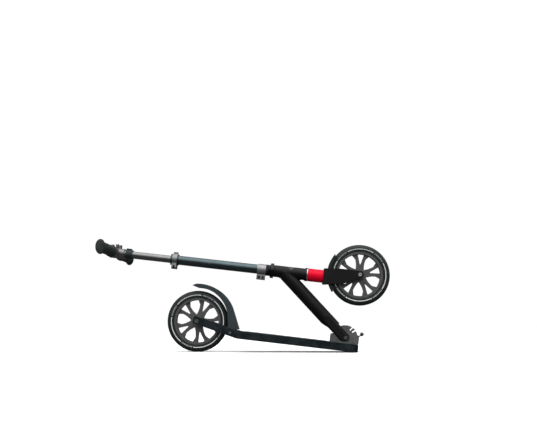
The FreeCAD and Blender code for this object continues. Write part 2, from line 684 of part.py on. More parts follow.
def rear_axle_spacers():
    """Two sleeves that centre the rear wheel between the rails."""
    sleeve = ring_y(6.2, AXLE_RADIUS + SEAT, HUB_HALF_WIDTH + GAP, RAIL_INNER_AT_AXLE, REAR_AXLE_X, REAR_AXLE_Z)
    return Part.makeCompound([sleeve, mirrored(sleeve)])


def rail_outer_at(x):
    """Half width over the rails at a place along the deck."""
    share = (RAIL_JOG_START - x) / (RAIL_JOG_START - RAIL_JOG_END)
    return DECK_HALF_WIDTH - min(max(share, 0), 1) * (DECK_HALF_WIDTH - RAIL_OUTER_AT_AXLE)


def fender_hinge_pin():
    """Pin across the rails that the brake fender turns on."""
    reach = rail_outer_at(FENDER_HINGE_X) + FENDER_PIN_PAST
    pin = rod_y(FENDER_PIN_RADIUS, -reach, reach, FENDER_HINGE_X, FENDER_HINGE_Z)
    cap = rod_y(FENDER_PIN_HEAD, reach, reach + 2.2, FENDER_HINGE_X, FENDER_HINGE_Z)
    return fused([pin, cap, mirrored(cap)])


def fender_spring():
    """Torsion spring beside the fender's ear, round the hinge pin."""
    spring = coil(FENDER_PIN_RADIUS + 0.3, 1.5, 6, 0)
    spring.rotate(V(0, 0, 0), X_AXIS, -90)
    return moved(spring, FENDER_HINGE_X, FENDER_HALF_WIDTH + 1.0, FENDER_HINGE_Z)


# ---- brake fender ----------------------------------------------------------------------------
def fender_outline(inset):
    """The fender's side view, drawn smaller at the outer face by an inset."""
    centre = V(REAR_AXLE_X, 0, REAR_AXLE_Z)
    outer = FENDER_RADIUS - inset
    front = polar(outer, FENDER_FRONT) + centre
    slope = math.radians(90 - FENDER_FRONT)
    run = (front.z - FENDER_FOOT_Z) / math.sin(slope)
    foot = V(front.x + run * math.cos(slope), 0, FENDER_FOOT_Z)
    tip = polar(FENDER_RADIUS - 4.0 - inset, FENDER_TIP) + centre
    shoulder = polar(outer, FENDER_TIP - 6) + centre
    heel = polar(FENDER_SKIRT, FENDER_FRONT) + centre
    under_tip = polar(FENDER_SKIRT + 8.5, FENDER_TIP - 8) + centre
    under_mid = polar(FENDER_SKIRT + 5.0, (FENDER_TIP - 8 + FENDER_FRONT) / 2) + centre
    heel_foot = V(FENDER_HINGE_X - 10, 0, FENDER_FOOT_Z)
    top_mid = polar(outer, (FENDER_TIP - 6 + FENDER_FRONT) / 2) + centre
    edges = [Part.LineSegment(tip, shoulder).toShape(),
             Part.Arc(shoulder, top_mid, front).toShape(),
             Part.LineSegment(front, foot).toShape(),
             Part.LineSegment(foot, heel_foot).toShape(),
             Part.LineSegment(heel_foot, heel).toShape(),
             Part.Arc(heel, under_mid, under_tip).toShape(),
             Part.LineSegment(under_tip, tip).toShape()]
    return Part.Face(Part.Wire(edges))


def brake_fender():
    """Channel-section fender over the rear wheel, with two ears and a sleeve on the hinge pin."""
    width = FENDER_HALF_WIDTH
    shell = moved(fender_outline(0.0).extrude(V(0, 2 * width, 0)), 0, -width, 0)
    inner = width - FENDER_SHEET
    hollow = moved(fender_outline(FENDER_SHEET).extrude(V(0, 2 * inner, 0)), 0, -inner, 0)
    shell = shell.cut(hollow)
    shell = shell.cut(block(-900, FENDER_HINGE_X + 16, -inner, inner, FENDER_FOOT_Z - 1, FENDER_FOOT_Z + 4))
    ear_outline = [(FENDER_HINGE_X - 7, FENDER_HINGE_Z), (FENDER_HINGE_X + 7, FENDER_HINGE_Z),
                   (FENDER_HINGE_X + 20, FENDER_FOOT_Z + 3), (FENDER_HINGE_X - 8, FENDER_FOOT_Z + 3)]
    ear = prism_y(ear_outline, inner, width)
    ear = fused([ear, rod_y(7.0, inner, width, FENDER_HINGE_X, FENDER_HINGE_Z)])
    sleeve = rod_y(5.2, -width, width, FENDER_HINGE_X, FENDER_HINGE_Z)
    body = fused([shell, ear, mirrored(ear), sleeve])
    return body.cut(rod_y(FENDER_PIN_RADIUS + RUNNING, -width - 1, width + 1, FENDER_HINGE_X, FENDER_HINGE_Z))


def brake_pad():
    """Rubbing block under the fender's sheet."""
    top = FENDER_RADIUS - FENDER_SHEET - SEAT
    band = arc_band(top - PAD_THICK, top, PAD_FROM, PAD_TO, -TYRE_WIDTH / 2 + 3, TYRE_WIDTH / 2 - 3)
    return moved(band, REAR_AXLE_X, 0, REAR_AXLE_Z)


# ---- neck: yoke, down tube and head tube -----------------------------------------------------
def fold_yoke():
    """Cast lower end of the down tube: two cheeks on the pivot, and a plug inside the tube."""
    tip_spot = YOKE_TIP_CENTRE
    side = YOKE_HALF_WIDTH
    rear = TUBE_OFFSET - DOWN_TUBE_RADIUS
    outline = [(-side, tip_spot), (side, tip_spot), (side, YOKE_LENGTH), (rear, YOKE_LENGTH),
               (rear, YOKE_LENGTH - 4), (-side, YOKE_LENGTH - 31)]
    body = prism_y(outline, -CHEEK_OUTER, CHEEK_OUTER)
    body = fused([body, rod_y(side, -CHEEK_OUTER, CHEEK_OUTER, 0, tip_spot)])
    round_bar = rod_z(DOWN_TUBE_RADIUS, -side, YOKE_LENGTH, TUBE_OFFSET)
    body = body.common(round_bar)
    plug = rod_z(DOWN_TUBE_RADIUS - DOWN_TUBE_WALL - SEAT, YOKE_LENGTH - 2, YOKE_LENGTH + YOKE_PLUG, TUBE_OFFSET)
    body = fused([body, plug])
    body = body.cut(block(-60, 60, -CHEEK_INNER, CHEEK_INNER, -60, YOKE_SLOT_DEPTH))
    body = body.cut(rod_z(LOCK_BOLT_RADIUS + RUNNING, YOKE_SLOT_DEPTH - 1, LOCK_BORE_TOP, TUBE_OFFSET))
    body = body.cut(rod_y(BUSHING_OUTER + SEAT, -60, 60))
    pocket = rod_y(6.8, CHEEK_OUTER - 3.6, CHEEK_OUTER + 5)
    return body.cut(pocket).cut(mirrored(pocket))


def pivot_bushings():
    """Two bronze bushings in the yoke's cheeks."""
    bush = ring_y(BUSHING_OUTER, PIVOT_BOLT_RADIUS + RUNNING, CHEEK_INNER, CHEEK_OUTER - 3.6)
    return Part.makeCompound([bush, mirrored(bush)])


def lock_bolt():
    """Flat tongue on a round shank; it drops into the bracket's slots to hold the fold."""
    tongue_top = YOKE_SLOT_DEPTH - 0.7
    reach = CHEEK_INNER - 0.2
    tongue = block(TUBE_OFFSET - TONGUE_THICK / 2, TUBE_OFFSET + TONGUE_THICK / 2, -reach, reach,
                   TONGUE_TIP, tongue_top)
    shank = rod_z(LOCK_BOLT_RADIUS, tongue_top - 2, LOCK_BOLT_TOP, TUBE_OFFSET)
    return fused([tongue, shank])


def lock_spring():
    """Spring above the lock bolt."""
    return moved(coil(3.4, 2.0, 9, LOCK_BOLT_TOP + GAP), TUBE_OFFSET, 0, 0)


def down_tube():
    """Stout tube from the yoke up to the head tube, coped to fit round it."""
    length = (PIVOT_BACK - TUBE_OFFSET) / math.sin(math.radians(TUBE_ANGLE)) + 5
    body = rod_z(DOWN_TUBE_RADIUS, YOKE_LENGTH, length, TUBE_OFFSET)
    body = body.cut(rod_z(DOWN_TUBE_RADIUS - DOWN_TUBE_WALL, YOKE_LENGTH - 1, length + 1, TUBE_OFFSET))
    head = rod_z(HEAD_TUBE_RADIUS + SEAT, -100, 600)
    head.Placement = NECK_FRAME.inverse() * COLUMN_FRAME
    cut_top = block(0, 200, -60, 60, -100, 600)
    cut_top.Placement = NECK_FRAME.inverse() * COLUMN_FRAME
    return body.cut(head).cut(cut_top)


def head_tube():
    """Bearing tube of the steering."""
    return ring_z(HEAD_TUBE_RADIUS, HEAD_TUBE_RADIUS - HEAD_TUBE_WALL, HEAD_TUBE_BOTTOM, HEAD_TUBE_TOP)


def headset_cup(radius, height):
    """A cup with its pocket facing -Z and its lip going up into the head tube, flange bottom at 0."""
    lip_outer = HEAD_TUBE_RADIUS - HEAD_TUBE_WALL - SEAT
    lip_inner = STEERER_RADIUS + 1.2
    pocket_top = height - 1.2
    return revolved([(CUP_POCKET, 0.0), (radius - 1, 0.0), (radius, 1.0), (radius, height), (lip_outer, height),
                     (lip_outer, height + CUP_LIP), (lip_inner, height + CUP_LIP), (lip_inner, pocket_top),
                     (CUP_POCKET, pocket_top)], "z")


def lower_headset_cup():
    """Cup below the head tube."""
    return moved(headset_cup(LOWER_CUP_RADIUS, LOWER_CUP_HEIGHT), 0, 0, HEAD_TUBE_BOTTOM - LOWER_CUP_HEIGHT)


def upper_headset_cup():
    """Cup above the head tube, turned over."""
    cup = headset_cup(UPPER_CUP_RADIUS, UPPER_CUP_HEIGHT)
    cup.rotate(V(0, 0, 0), X_AXIS, 180)
    return moved(cup, 0, 0, HEAD_TUBE_TOP + UPPER_CUP_HEIGHT)


# ---- fork and column -------------------------------------------------------------------------
def fork():
    """Two legs, the crown across them and the steerer tube, welded into one piece."""
    heel = RAKE - LEG_END_RADIUS
    toe = RAKE + LEG_END_RADIUS
    leg_outline = [(-CROWN_HALF_DEPTH, CROWN_TOP), (-CROWN_HALF_DEPTH + 7, CROWN_TOP * 0.48),
                   (heel - 9, CROWN_TOP * 0.19), (heel, 0.0), (toe, 0.0),
                   (toe, CROWN_TOP * 0.55), (CROWN_HALF_DEPTH, CROWN_TOP)]
    leg = prism_y(leg_outline, LEG_INNER, LEG_OUTER)
    leg = fused([leg, rod_y(LEG_END_RADIUS, LEG_INNER, LEG_OUTER, RAKE, 0)])
    crown = block(-CROWN_HALF_DEPTH, CROWN_HALF_DEPTH, -LEG_OUTER, LEG_OUTER, CROWN_TOP - CROWN_THICK, CROWN_TOP)
    corners = [V(x, y, 0) for x in (-CROWN_HALF_DEPTH, CROWN_HALF_DEPTH) for y in (-LEG_OUTER, LEG_OUTER)]
    body = fused([leg, mirrored(leg), crown])
    body = rounded(body, Z_AXIS, corners, 3.0)
    steerer = rod_z(STEERER_RADIUS, CROWN_TOP - 2, STEERER_TOP)
    body = fused([body, steerer])
    body = body.cut(rod_z(STEERER_RADIUS - STEERER_WALL, CROWN_TOP, STEERER_TOP + 1))
    body = body.cut(rod_y(AXLE_RADIUS + SEAT, -60, 60, RAKE, 0))
    for x in guard_screw_spots():
        body = body.cut(rod_z(GUARD_SCREW_RADIUS + SEAT, CROWN_TOP - CROWN_THICK - 1, CROWN_TOP - 2, x))
    return body


def fork_sleeve():
    """Coloured sleeve round the steerer, between the crown and the head tube."""
    bottom = CROWN_TOP
    top = HEAD_TUBE_BOTTOM - LOWER_CUP_HEIGHT - GAP
    inner = STEERER_RADIUS + SEAT
    return revolved([(inner, bottom), (SLEEVE_RADIUS - 0.8, bottom), (SLEEVE_RADIUS, bottom + 0.8),
                     (SLEEVE_RADIUS, top - 0.8), (SLEEVE_RADIUS - 0.8, top), (inner, top)], "z")


def race(bottom):
    """Headset bearing on the steerer."""
    return ring_z(RACE_RADIUS, RACE_BORE, bottom, bottom + RACE_HEIGHT)


def headset_bearings():
    """Lower and upper headset bearing."""
    low = race(HEAD_TUBE_BOTTOM - LOWER_CUP_HEIGHT + 0.4)
    high = race(HEAD_TUBE_TOP + UPPER_CUP_HEIGHT - RACE_HEIGHT - 0.4)
    return Part.makeCompound([low, high])


def headset_locknut():
    """Ribbed top nut and spacer ring of the headset."""
    bottom = HEAD_TUBE_TOP + UPPER_CUP_HEIGHT + GAP
    inner = STEERER_RADIUS + SEAT
    step = LOCKNUT_RADIUS - 1.2
    middle = bottom + 8.0
    return revolved([(inner, bottom), (LOCKNUT_RADIUS, bottom), (LOCKNUT_RADIUS, middle), (step, middle),
                     (step, middle + 1.2), (LOCKNUT_RADIUS, middle + 1.2), (LOCKNUT_RADIUS, LOCKNUT_TOP),
                     (inner, LOCKNUT_TOP)], "z")


def clamp_bolt_heights():
    """Heights of the stem clamp's two bolts."""
    return [LOCKNUT_TOP + CLAMP_HEIGHT * share for share in (0.27, 0.73)]


def stem_clamp():
    """Split clamp that squeezes the outer tube onto the steerer."""
    top = LOCKNUT_TOP + CLAMP_HEIGHT
    lug = block(-CLAMP_RADIUS - CLAMP_LUG, 0, -CLAMP_LUG_HALF, CLAMP_LUG_HALF, LOCKNUT_TOP, top)
    spots = [V(-CLAMP_RADIUS - CLAMP_LUG, y, 0) for y in (-CLAMP_LUG_HALF, CLAMP_LUG_HALF)]
    lug = rounded(lug, Z_AXIS, spots, 3.0)
    body = fused([rod_z(CLAMP_RADIUS, LOCKNUT_TOP, top), lug])
    body = body.cut(rod_z(OUTER_TUBE_RADIUS + SEAT, LOCKNUT_TOP - 1, top + 1))
    body = body.cut(block(-60, 0, -1.2, 1.2, LOCKNUT_TOP - 1, top + 1))
    for height in clamp_bolt_heights():
        body = body.cut(rod_y(CLAMP_BOLT_RADIUS + SEAT, -30, 30, -CLAMP_RADIUS - CLAMP_LUG / 2, height))
    return body


def stem_clamp_bolts():
    """Two bolts across the clamp's lugs."""
    bolts = []
    x = -CLAMP_RADIUS - CLAMP_LUG / 2
    for height in clamp_bolt_heights():
        shank = rod_y(CLAMP_BOLT_RADIUS, -CLAMP_LUG_HALF - 1, CLAMP_LUG_HALF + 2.5, x, height)
        head = rod_y(4.3, -CLAMP_LUG_HALF - 3.2, -CLAMP_LUG_HALF, x, height)
        socket = hex_prism(2.2, -CLAMP_LUG_HALF - 4, -CLAMP_LUG_HALF - 1.4, x, height)
        bolts.append(fused([shank, head]).cut(socket))
    return Part.makeCompound(bolts)


def outer_tube():
    """Anodised lower half of the telescoping column."""
    bottom = LOCKNUT_TOP + 0.2
    body = ring_z(OUTER_TUBE_RADIUS, OUTER_TUBE_BORE, bottom, OUTER_TUBE_TOP)
    body = body.cut(block(-30, 0, -1.0, 1.0, bottom - 1, LOCKNUT_TOP + CLAMP_HEIGHT + 4))
    return body.cut(rod_y(HEIGHT_BUTTON_RADIUS + RUNNING, -30, 30, 0, HEIGHT_BUTTON_T))


def qr_middle():
    """Height of the quick release's bolt."""
    return (COLLAR_BOTTOM + OUTER_TUBE_TOP) / 2 + 2


def qr_collar():
    """Split collar on the outer tube's end, with a liner that guides the inner tube."""
    lug_low = COLLAR_BOTTOM + 3
    lug_high = COLLAR_TOP - 5
    lug = block(-COLLAR_RADIUS - COLLAR_LUG, 0, -COLLAR_LUG_HALF, COLLAR_LUG_HALF, lug_low, lug_high)
    body = fused([rod_z(COLLAR_RADIUS, COLLAR_BOTTOM, COLLAR_TOP), lug])
    body = body.cut(rod_z(OUTER_TUBE_RADIUS + SEAT, COLLAR_BOTTOM - 1, OUTER_TUBE_TOP + SEAT))
    body = body.cut(rod_z(INNER_TUBE_RADIUS + RUNNING, COLLAR_BOTTOM - 1, COLLAR_TOP + 1))
    body = body.cut(block(-60, 0, -1.0, 1.0, COLLAR_BOTTOM - 1, COLLAR_TOP + 1))
    return body.cut(rod_y(CLAMP_BOLT_RADIUS + SEAT, -30, 30, QR_BOLT_X, qr_middle()))


def qr_bolt():
    """Quick-release bolt: nut at +Y, cross barrel for the lever at -Y."""
    middle = qr_middle()
    shank = rod_y(CLAMP_BOLT_RADIUS, QR_PIVOT_Y, COLLAR_LUG_HALF + 1, QR_BOLT_X, middle)
    nut = hex_prism(4.6, COLLAR_LUG_HALF, COLLAR_LUG_HALF + 4, QR_BOLT_X, middle)
    barrel = rod_z(2.8, middle - QR_HALF_WIDTH, middle + QR_HALF_WIDTH, QR_BOLT_X, QR_PIVOT_Y)
    return fused([shank, nut, barrel])


def qr_lever():
    """Cam lever that wraps round the collar's right side; the lip at its tip is pulled to open it."""
    middle = qr_middle()
    low = middle - QR_HALF_WIDTH
    high = middle + QR_HALF_WIDTH
    outer = QR_BLADE_INNER + QR_BLADE_THICK
    band = rod_z(outer, low, high).cut(rod_z(QR_BLADE_INNER, low - 1, high + 1))
    keep = prism_z([(-18.5, -11.5), (0, 0), (40, 0), (40, -40), (-30, -40)], low, high)
    blade = band.common(keep)
    web = prism_z([(QR_BOLT_X, QR_PIVOT_Y - QR_CAM_RADIUS), (-20.5, -10.4), (-16.5, -11.9), (-11.0, -19.4)],
                  low, high)
    cam = rod_z(QR_CAM_RADIUS, low, high, QR_BOLT_X, QR_PIVOT_Y)
    lip = block(QR_BLADE_INNER, outer + 3.5, -4.0, 0.0, low, high)
    body = fused([blade, web, cam, lip])
    body = body.cut(rod_z(2.8 + RUNNING, low - 1, high + 1, QR_BOLT_X, QR_PIVOT_Y))
    slot_half = CLAMP_BOLT_RADIUS + 0.5
    slot = rod_z(QR_CAM_RADIUS + 1.5, middle - slot_half, middle + slot_half, QR_BOLT_X, QR_PIVOT_Y)
    return body.cut(slot.common(block(-60, 0, -60, -QR_BLADE_INNER + 12, low, high)))


def height_button():
    """Domed spring button on the +Y side of the outer tube."""
    base = INNER_TUBE_RADIUS + 0.35
    tip = OUTER_TUBE_RADIUS + HEIGHT_BUTTON_PROUD
    dome = revolved([(0.0, base), (HEIGHT_BUTTON_RADIUS, base), (HEIGHT_BUTTON_RADIUS, tip - 1.0),
                     (HEIGHT_BUTTON_RADIUS - 1.0, tip), (0.0, tip)], "y")
    return moved(dome, 0, 0, HEIGHT_BUTTON_T)


def height_button_left():
    """Height button on +Y."""
    return height_button()


def height_button_right():
    """Height button on -Y."""
    return mirrored(height_button())


# ---- front mudguard --------------------------------------------------------------------------
def guard_screw_spots():
    """Places of the mudguard's two screws, ahead of and behind the steering axis."""
    return [RAKE - 30.0, RAKE - 6.0]


def guard_height(x):
    """Height of the mudguard's outer face over a point x ahead of the steering axis."""
    return math.sqrt(GUARD_RADIUS ** 2 - (x - RAKE) ** 2)


def guard_screw_seat(x):
    """Height of the flat spot that a screw's head bears on, inside the sheet."""
    return guard_height(x) - GUARD_SHEET


def front_mudguard():
    """Curved guard under the crown, with a skirt on each side."""
    start = 90 - GUARD_FORWARD
    end = 90 + GUARD_BACK
    half = GUARD_HALF_WIDTH
    sheet = arc_band(GUARD_RADIUS - GUARD_SHEET, GUARD_RADIUS, start, end, -half, half)
    skirt = arc_band(GUARD_SKIRT, GUARD_RADIUS, start + 1.5, end - 1.5, half - 2.0, half)
    body = moved(fused([sheet, skirt, mirrored(skirt)]), RAKE, 0, 0)
    for x in guard_screw_spots():
        top = CROWN_TOP - CROWN_THICK - SEAT
        body = body.fuse(rod_z(4.5, guard_height(x) - GUARD_SHEET / 2, top, x))
        body = body.cut(rod_z(GUARD_SCREW_RADIUS + SEAT, guard_height(x) - 8, top + 1, x))
        body = body.cut(rod_z(GUARD_SCREW_HEAD + SEAT, guard_height(x) - 12, guard_screw_seat(x), x))
    return body


def mudguard_screws():
    """Two pan-head screws from inside the mudguard up into the crown."""
    screws = []
    for x in guard_screw_spots():
        seat = guard_screw_seat(x)
        shank = rod_z(GUARD_SCREW_RADIUS, seat - 1, CROWN_TOP - 4, x)
        head = rod_z(GUARD_SCREW_HEAD, seat - GUARD_SCREW_HEAD_HEIGHT, seat, x)
        screws.append(fused([shank, head]))
    return Part.makeCompound(screws)


def front_axle():
    """Front axle bolt and nut through the fork's legs."""
    return bolt_and_nut(AXLE_RADIUS, 6.2, 3.6, LEG_OUTER, RAKE, 0)


def front_axle_spacers():
    """Two sleeves that centre the front wheel."""
    sleeve = ring_y(6.2, AXLE_RADIUS + SEAT, HUB_HALF_WIDTH + GAP, LEG_INNER, RAKE, 0)
    return Part.makeCompound([sleeve, mirrored(sleeve)])


# ---- handlebar -------------------------------------------------------------------------------
def inner_tube():
    """Sliding tube with a guide foot, and one pair of holes for each height."""
    bore = INNER_TUBE_RADIUS - INNER_TUBE_WALL
    foot = rod_z(OUTER_TUBE_BORE - RUNNING, INNER_TUBE_BOTTOM, INNER_TUBE_BOTTOM + FOOT_HEIGHT)
    body = fused([rod_z(INNER_TUBE_RADIUS, INNER_TUBE_BOTTOM, INNER_TUBE_TOP), foot])
    body = body.cut(rod_z(bore, INNER_TUBE_BOTTOM - 1, INNER_TUBE_TOP + 1))
    for k in range(HEIGHT_STEPS):
        height = HEIGHT_BUTTON_T - HEIGHT_TRAVEL * k / (HEIGHT_STEPS - 1)
        body = body.cut(rod_y(HEIGHT_BUTTON_RADIUS + 0.5, -30, 30, 0, height))
    return body


def height_spring():
    """V-shaped leaf spring inside the inner tube, on a small plug."""
    bottom = HEIGHT_BUTTON_T - 34
    top = HEIGHT_BUTTON_T + 7
    bore = INNER_TUBE_RADIUS - INNER_TUBE_WALL
    plug = rod_z(bore - SEAT, bottom - 6, bottom + 2)
    spread = 7.6
    leaf = Part.Face(Part.makePolygon([V(-3, 0, bottom), V(-3, 1.2, bottom), V(-3, spread, top),
                                       V(-3, spread - 1.2, top), V(-3, 0, bottom)])).extrude(V(6, 0, 0))
    return fused([plug, leaf, mirrored(leaf)])


def clip_ring():
    """Plastic ring on the inner tube with a hook on its front."""
    ring = ring_z(CLIP_RADIUS, INNER_TUBE_RADIUS + SEAT, CLIP_BOTTOM, CLIP_TOP)
    tab = block(CLIP_RADIUS - 2, CLIP_RADIUS + 4, -5, 5, CLIP_BOTTOM + 5, CLIP_TOP)
    return fused([ring, tab])


def t_head():
    """Cast head: barrel on the inner tube, crossbar with a clevis at each end, ribs on its front."""
    barrel = rod_z(HEAD_BARREL_RADIUS, HEAD_BARREL_BOTTOM, HEAD_BARREL_TOP)
    bar = block(-BAR_HALF_DEPTH, BAR_HALF_DEPTH, -HINGE_Y, HINGE_Y, BAR_T - BAR_HALF_HEIGHT, BAR_T + BAR_HALF_HEIGHT)
    pieces = [barrel, bar]
    for side in (-1, 1):
        pieces.append(rod_x(BAR_HALF_HEIGHT, -BAR_HALF_DEPTH, BAR_HALF_DEPTH, side * HINGE_Y, BAR_T))
    for low, high, reach in ((-16.0, -9.0, 29.0), (-4.5, 2.5, 31.0), (10.5, 18.0, 28.0)):
        rib = block(0, reach, -8.5, 8.5, BAR_T + low, BAR_T + high)
        spots = [V(reach, y, 0) for y in (-8.5, 8.5)]
        pieces.append(rounded(rib, Z_AXIS, spots, 4.0))
    body = fused(pieces)
    body = body.cut(rod_z(INNER_TUBE_RADIUS + SEAT, HEAD_BARREL_BOTTOM - 1, INNER_TUBE_TOP + SEAT))
    slot_x = TONGUE_HALF + GAP
    for side in (-1, 1):
        edge = HINGE_Y - BAR_HALF_HEIGHT - 1
        low = min(side * edge, side * (edge + 40))
        body = body.cut(block(-slot_x, slot_x, low, low + 40, BAR_T - 30, BAR_T + 30))
        body = body.cut(rod_x(HINGE_PIN_RADIUS + SEAT, -30, 30, side * HINGE_Y, BAR_T))
        pocket = rod_x(LOCK_BUTTON_RADIUS + RUNNING, LOCK_BUTTON_POCKET, 30, side * LOCK_BUTTON_Y, BAR_T)
        body = body.cut(pocket)
    return body


def grip_hinge_pins():
    """The two hinge pins of the folding arms."""
    pins = []
    for side in (-1, 1):
        y = side * HINGE_Y
        pin = rod_x(HINGE_PIN_RADIUS, -BAR_HALF_DEPTH - 1.5, BAR_HALF_DEPTH + 1.5, y, BAR_T)
        front = rod_x(4.6, BAR_HALF_DEPTH, BAR_HALF_DEPTH + 2, y, BAR_T)
        back = rod_x(4.6, -BAR_HALF_DEPTH - 2, -BAR_HALF_DEPTH, y, BAR_T)
        pins.append(fused([pin, front, back]))
    return Part.makeCompound(pins)


def grip_lock():
    """Push button beside the +Y hinge."""
    bottom = LOCK_BUTTON_TOP - LOCK_BUTTON_LENGTH
    button = rod_x(LOCK_BUTTON_RADIUS, bottom, LOCK_BUTTON_TOP - 1, LOCK_BUTTON_Y, BAR_T)
    crown = Part.makeCone(LOCK_BUTTON_RADIUS, LOCK_BUTTON_RADIUS - 1, 1, V(LOCK_BUTTON_TOP - 1, LOCK_BUTTON_Y, BAR_T),
                          X_AXIS)
    return fused([button, crown])


def grip_lock_left():
    """Grip lock on +Y."""
    return grip_lock()


def grip_lock_right():
    """Grip lock on -Y."""
    return mirrored(grip_lock())


def grip_arm():
    """Folding arm on +Y: flat tongue on the hinge pin, then a round tube."""
    tongue = block(-TONGUE_HALF, TONGUE_HALF, HINGE_Y, HINGE_Y + ARM_START + 2, BAR_T - ARM_RADIUS + 1,
                   BAR_T + ARM_RADIUS - 1)
    eye = rod_x(ARM_RADIUS - 1, -TONGUE_HALF, TONGUE_HALF, HINGE_Y, BAR_T)
    tube_end = BAR_HALF_LENGTH - 5.2
    tube = rod_y(ARM_RADIUS, HINGE_Y + ARM_START, tube_end, 0, BAR_T)
    bore = rod_y(ARM_RADIUS - ARM_WALL, HINGE_Y + GRIP_START, tube_end + 1, 0, BAR_T)
    body = fused([tongue, eye, tube.cut(bore)])
    return body.cut(rod_x(HINGE_PIN_RADIUS + RUNNING, -30, 30, HINGE_Y, BAR_T))


def grip_arm_left():
    """Arm on +Y."""
    return grip_arm()


def grip_arm_right():
    """Arm on -Y."""
    return mirrored(grip_arm())


def grip():
    """Rubber grip on +Y: inner flange, slightly waisted body and a wide domed end."""
    inner = ARM_RADIUS + SEAT
    start = HINGE_Y + GRIP_START
    flare = BAR_HALF_LENGTH - GRIP_END_LENGTH
    end = BAR_HALF_LENGTH
    face = end - 5.0
    outline = [(inner, start), (GRIP_FLANGE - 1, start), (GRIP_FLANGE, start + 1), (GRIP_FLANGE, start + 4),
               (GRIP_RADIUS, start + 8), (GRIP_RADIUS + 0.8, (start + flare) / 2), (GRIP_RADIUS, flare),
               (GRIP_END - 2, end - 9), (GRIP_END, end - 6), (GRIP_END - 1.5, end - 2.5), (GRIP_END - 7, end - 0.6),
               (0.0, end), (0.0, face), (inner, face)]
    return moved(revolved(outline, "y"), 0, 0, BAR_T)


def grip_left():
    """Grip on +Y."""
    return grip()


def grip_right():
    """Grip on -Y."""
    return mirrored(grip())


# ---- the assembly ----------------------------------------------------------------------------
DECK_PARTS = (deck_platform, grip_tape, nose_cap, rail_left, rail_right, rear_crossmember, fold_bracket,
              bracket_bolts, pivot_bolt, knob_spring, rear_axle, rear_axle_spacers, fender_hinge_pin,
              fender_spring, brake_fender, brake_pad, push_knob, knob_stem)
NECK_PARTS = (fold_yoke, pivot_bushings, down_tube, lock_bolt, lock_spring)
COLUMN_PARTS = (head_tube, lower_headset_cup, upper_headset_cup, fork, fork_sleeve, headset_bearings,
                headset_locknut, stem_clamp, stem_clamp_bolts, outer_tube, qr_collar, qr_bolt, qr_lever,
                height_button_left, height_button_right, front_mudguard, mudguard_screws, front_axle,
                front_axle_spacers, inner_tube, height_spring, clip_ring, t_head, grip_hinge_pins,
                grip_lock_left, grip_lock_right, grip_arm_left, grip_arm_right, grip_left, grip_right)
WHEEL_PARTS = (tyre, rim, wheel_bearings)


def assembled():
    """Every piece in place, before the row's origin is set: rear axle at X = 0, floor at Z = 0."""
    shapes = {}
    for parts, frame in ((DECK_PARTS, DECK_FRAME), (NECK_PARTS, NECK_FRAME), (COLUMN_PARTS, COLUMN_FRAME)):
        for make in parts:
            shapes[make.__name__] = placed(make(), frame)
    for end, frame in (("front", FRONT_WHEEL_FRAME), ("rear", REAR_WHEEL_FRAME)):
        for make in WHEEL_PARTS:
            shapes[end + "_" + make.__name__] = placed(make(), frame)
    return shapes


def placed(shape, frame):
    """The shape carried from its local frame into the scooter's."""
    copy = shape.copy()
    copy.Placement = frame.multiply(copy.Placement)
    return copy


def centre_x(shapes):
    """Middle of the scooter's length: from the grips' rear edge to the front tyre's front edge."""
    low = min(shapes[name].optimalBoundingBox().XMin for name in ("grip_left", "t_head"))
    high = max(shapes[name].optimalBoundingBox().XMax for name in ("front_tyre", "fork"))
    return (low + high) / 2


def main():
    """Writes one STEP file a piece, with the origin under the middle of the folded scooter."""
    os.makedirs("parts", exist_ok=True)
    shapes = assembled()
    shift = -centre_x(shapes)
    for name, shape in shapes.items():
        shape.translate(V(shift, 0, 0))
        shape.exportStep("parts/" + name + ".step")
        print(name, len(shape.Solids), round(shape.Volume), shape.isValid())
    print("shift", round(shift, 4), "tilt", round(TILT, 4), "pieces", len(shapes))
    return shift


if __name__ == "__main__":
    main()
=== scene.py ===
"""Folding kick scooter with two big wheels, stored folded: finishes, fine surfaces, light and camera."""
import json
import math

import bmesh
import bpy
import numpy as np
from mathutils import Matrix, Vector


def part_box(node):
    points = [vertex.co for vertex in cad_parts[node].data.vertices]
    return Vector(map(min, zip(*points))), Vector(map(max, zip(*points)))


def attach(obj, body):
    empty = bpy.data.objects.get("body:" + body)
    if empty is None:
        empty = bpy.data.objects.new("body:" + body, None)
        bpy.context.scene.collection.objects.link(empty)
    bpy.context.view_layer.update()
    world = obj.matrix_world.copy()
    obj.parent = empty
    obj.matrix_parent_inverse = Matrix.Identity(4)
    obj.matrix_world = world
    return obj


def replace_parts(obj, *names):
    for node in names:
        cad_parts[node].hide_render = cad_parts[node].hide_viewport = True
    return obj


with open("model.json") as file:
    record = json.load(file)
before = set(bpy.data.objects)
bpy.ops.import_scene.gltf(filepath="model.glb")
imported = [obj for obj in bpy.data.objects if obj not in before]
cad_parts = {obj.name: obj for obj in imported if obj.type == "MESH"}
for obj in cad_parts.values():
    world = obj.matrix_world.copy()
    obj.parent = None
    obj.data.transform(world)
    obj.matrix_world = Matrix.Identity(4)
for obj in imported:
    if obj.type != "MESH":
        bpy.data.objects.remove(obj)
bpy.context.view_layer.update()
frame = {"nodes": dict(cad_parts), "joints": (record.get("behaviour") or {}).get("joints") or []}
nodes = frame["nodes"]
joints = {joint["name"]: joint for joint in frame["joints"]}
MM = 0.001

# ==== deck: platform, nose cap and crossmember ================================================
# The platform is a hollow aluminium extrusion, its nose cap and crossmember are plates of the same alloy.
# All are bead-blasted and anodised dark slate; the extrusion's die leaves faint lines along its length.
DECK_TILT = math.radians(6.585)
DECK_SLATE = (0.008, 0.012, 0.013, 1.0)
DECK_SLATE_WORN = (0.036, 0.046, 0.049, 1.0)
FLAT_WITHIN = 0.4           # degrees between faces that count as one flat
SHARP_PAST = 32.0           # degrees between faces past which their edge is broken


